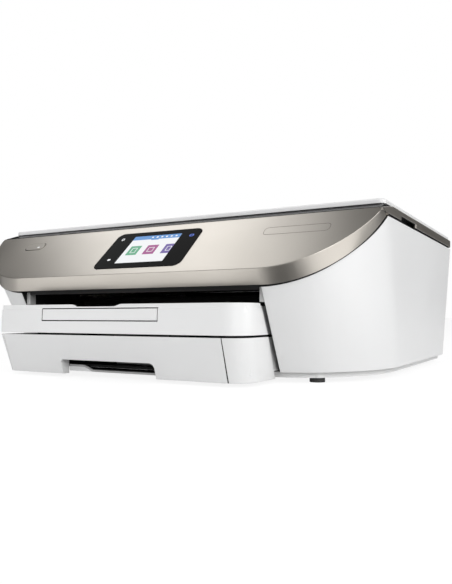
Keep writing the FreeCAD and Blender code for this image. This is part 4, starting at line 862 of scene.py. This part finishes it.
FLOOR_SIDE = 40.0
FLOOR_DROP = 0.0004
FLOOR_GLOW = 1.1
GLOW_SHARE = 0.8
bpy.ops.object.select_all(action="DESELECT")
bpy.ops.mesh.primitive_plane_add(size=FLOOR_SIDE, location=(0.0, 0.0, -FLOOR_DROP))
floor = bpy.context.object
floor.name = "studio_floor"
floor_pale = bpy.data.materials.new("floor_pale")
floor_pale.use_nodes = True
tree = floor_pale.node_tree
shader = tree.nodes["Principled BSDF"]
shader.inputs["Base Color"].default_value = (0.8, 0.8, 0.8, 1.0)
shader.inputs["Roughness"].default_value = 0.9
shader.inputs["Specular IOR Level"].default_value = 0.0
glow = tree.nodes.new("ShaderNodeEmission")
glow.inputs["Strength"].default_value = FLOOR_GLOW
rays = tree.nodes.new("ShaderNodeLightPath")
cover = tree.nodes.new("ShaderNodeMixShader")
tree.links.new(worked_out(tree, "MULTIPLY", rays.outputs["Is Camera Ray"], GLOW_SHARE), cover.inputs["Fac"])
tree.links.new(shader.outputs["BSDF"], cover.inputs[1])
tree.links.new(glow.outputs["Emission"], cover.inputs[2])
tree.links.new(cover.outputs["Shader"], tree.nodes["Material Output"].inputs["Surface"])
floor.data.materials.append(floor_pale)

world = bpy.data.worlds.new("studio_white")
bpy.context.scene.world = world
world.use_nodes = True
tree = world.node_tree
tree.nodes.clear()
rays = tree.nodes.new("ShaderNodeLightPath")
seen = worked_out(tree, "MAXIMUM", rays.outputs["Is Camera Ray"], rays.outputs["Is Glossy Ray"])
seen = worked_out(tree, "MAXIMUM", seen, rays.outputs["Is Transmission Ray"])
soft = tree.nodes.new("ShaderNodeBackground")
soft.inputs["Color"].default_value = (0.97, 0.98, 1.0, 1.0)
soft.inputs["Strength"].default_value = 0.45
plain = tree.nodes.new("ShaderNodeBackground")
plain.inputs["Color"].default_value = (1.0, 1.0, 1.0, 1.0)
plain.inputs["Strength"].default_value = 1.0
chosen = tree.nodes.new("ShaderNodeMixShader")
tree.links.new(seen, chosen.inputs["Fac"])
tree.links.new(soft.outputs["Background"], chosen.inputs[1])
tree.links.new(plain.outputs["Background"], chosen.inputs[2])
leave = tree.nodes.new("ShaderNodeOutputWorld")
tree.links.new(chosen.outputs["Shader"], leave.inputs["Surface"])

LAMP_AIM = Vector((0.0, -0.05, 0.08))
for name, place, size, power in (("key_lamp", (1.5, -1.6, 1.05), 1.1, 22.5),
                                 ("side_lamp", (2.0, 0.1, 0.7), 1.3, 12.0),
                                 ("fill_lamp", (-1.7, -1.35, 0.7), 1.4, 11.0),
                                 ("top_lamp", (-0.75, 0.3, 1.25), 0.7, 2.6)):
    lamp = bpy.data.lights.new(name, "AREA")
    lamp.size = size
    lamp.energy = power
    holder = bpy.data.objects.new(name, lamp)
    bpy.context.scene.collection.objects.link(holder)
    holder.location = place
    holder.rotation_mode = "QUATERNION"
    holder.rotation_quaternion = (LAMP_AIM - Vector(place)).to_track_quat("-Z", "Y")

card_black = bpy.data.materials.new("card_black")
card_white = bpy.data.materials.new("card_white")
for card_skin, grey, strength in ((card_black, 0.02, 0.0), (card_white, 0.9, 1.5)):
    card_skin.use_nodes = True
    shader = card_skin.node_tree.nodes["Principled BSDF"]
    shader.inputs["Base Color"].default_value = (grey, grey, grey, 1.0)
    shader.inputs["Emission Color"].default_value = (1.0, 1.0, 1.0, 1.0)
    shader.inputs["Emission Strength"].default_value = strength
    shader.inputs["Roughness"].default_value = 1.0
    shader.inputs["Specular IOR Level"].default_value = 0.0
UPRIGHT = math.pi / 2
for name, place, turn, spread, card_skin in (
        ("left_card", (-1.2, 0.1, 0.54), (0.0, UPRIGHT, 0.0), (1.28, 2.8), card_black),
        ("roof_card", (0.63, 0.3, 1.9), (0.0, 0.0, 0.0), (2.2, 2.4), card_black),
        ("front_card", (-0.5, -2.2, 0.75), (UPRIGHT, 0.0, 0.0), (1.5, 1.7), card_black),
        ("rear_card", (0.9, 2.2, 0.45), (UPRIGHT, 0.0, 0.0), (1.6, 1.1), card_black),
        ("table_card", (0.19, -0.42, 0.004), (0.0, 0.0, 0.0), (0.17, 0.36), card_black),
        ("right_bounce", (0.58, -0.28, 0.004), (0.0, 0.0, 0.0), (0.5, 0.54), card_white),
        ("left_bounce", (-0.13, -0.46, 0.004), (0.0, 0.0, 0.0), (0.4, 0.36), card_white)):
    bpy.ops.mesh.primitive_plane_add(size=1.0, location=place, rotation=turn)
    card = bpy.context.object
    card.name = name
    card.scale = (*spread, 1.0)
    bpy.ops.object.transform_apply(location=True, rotation=True, scale=True)
    card.data.materials.append(card_skin)
    card.visible_camera = False
    card.visible_diffuse = False
    card.visible_shadow = False

EYE = (0.36604, -0.6381, 0.05873)
TURN = math.radians(29.46)
lens = bpy.data.cameras.new("photo_camera")
lens.sensor_width = 36.0
lens.lens = 38.03
lens.shift_y = 0.0411
lens.clip_start = 0.01
camera = bpy.data.objects.new("photo_camera", lens)
bpy.context.scene.collection.objects.link(camera)
camera.location = EYE
camera.rotation_euler = (UPRIGHT, 0.0, TURN)
bpy.context.scene.camera = camera
bpy.context.scene.view_settings.view_transform = "Standard"
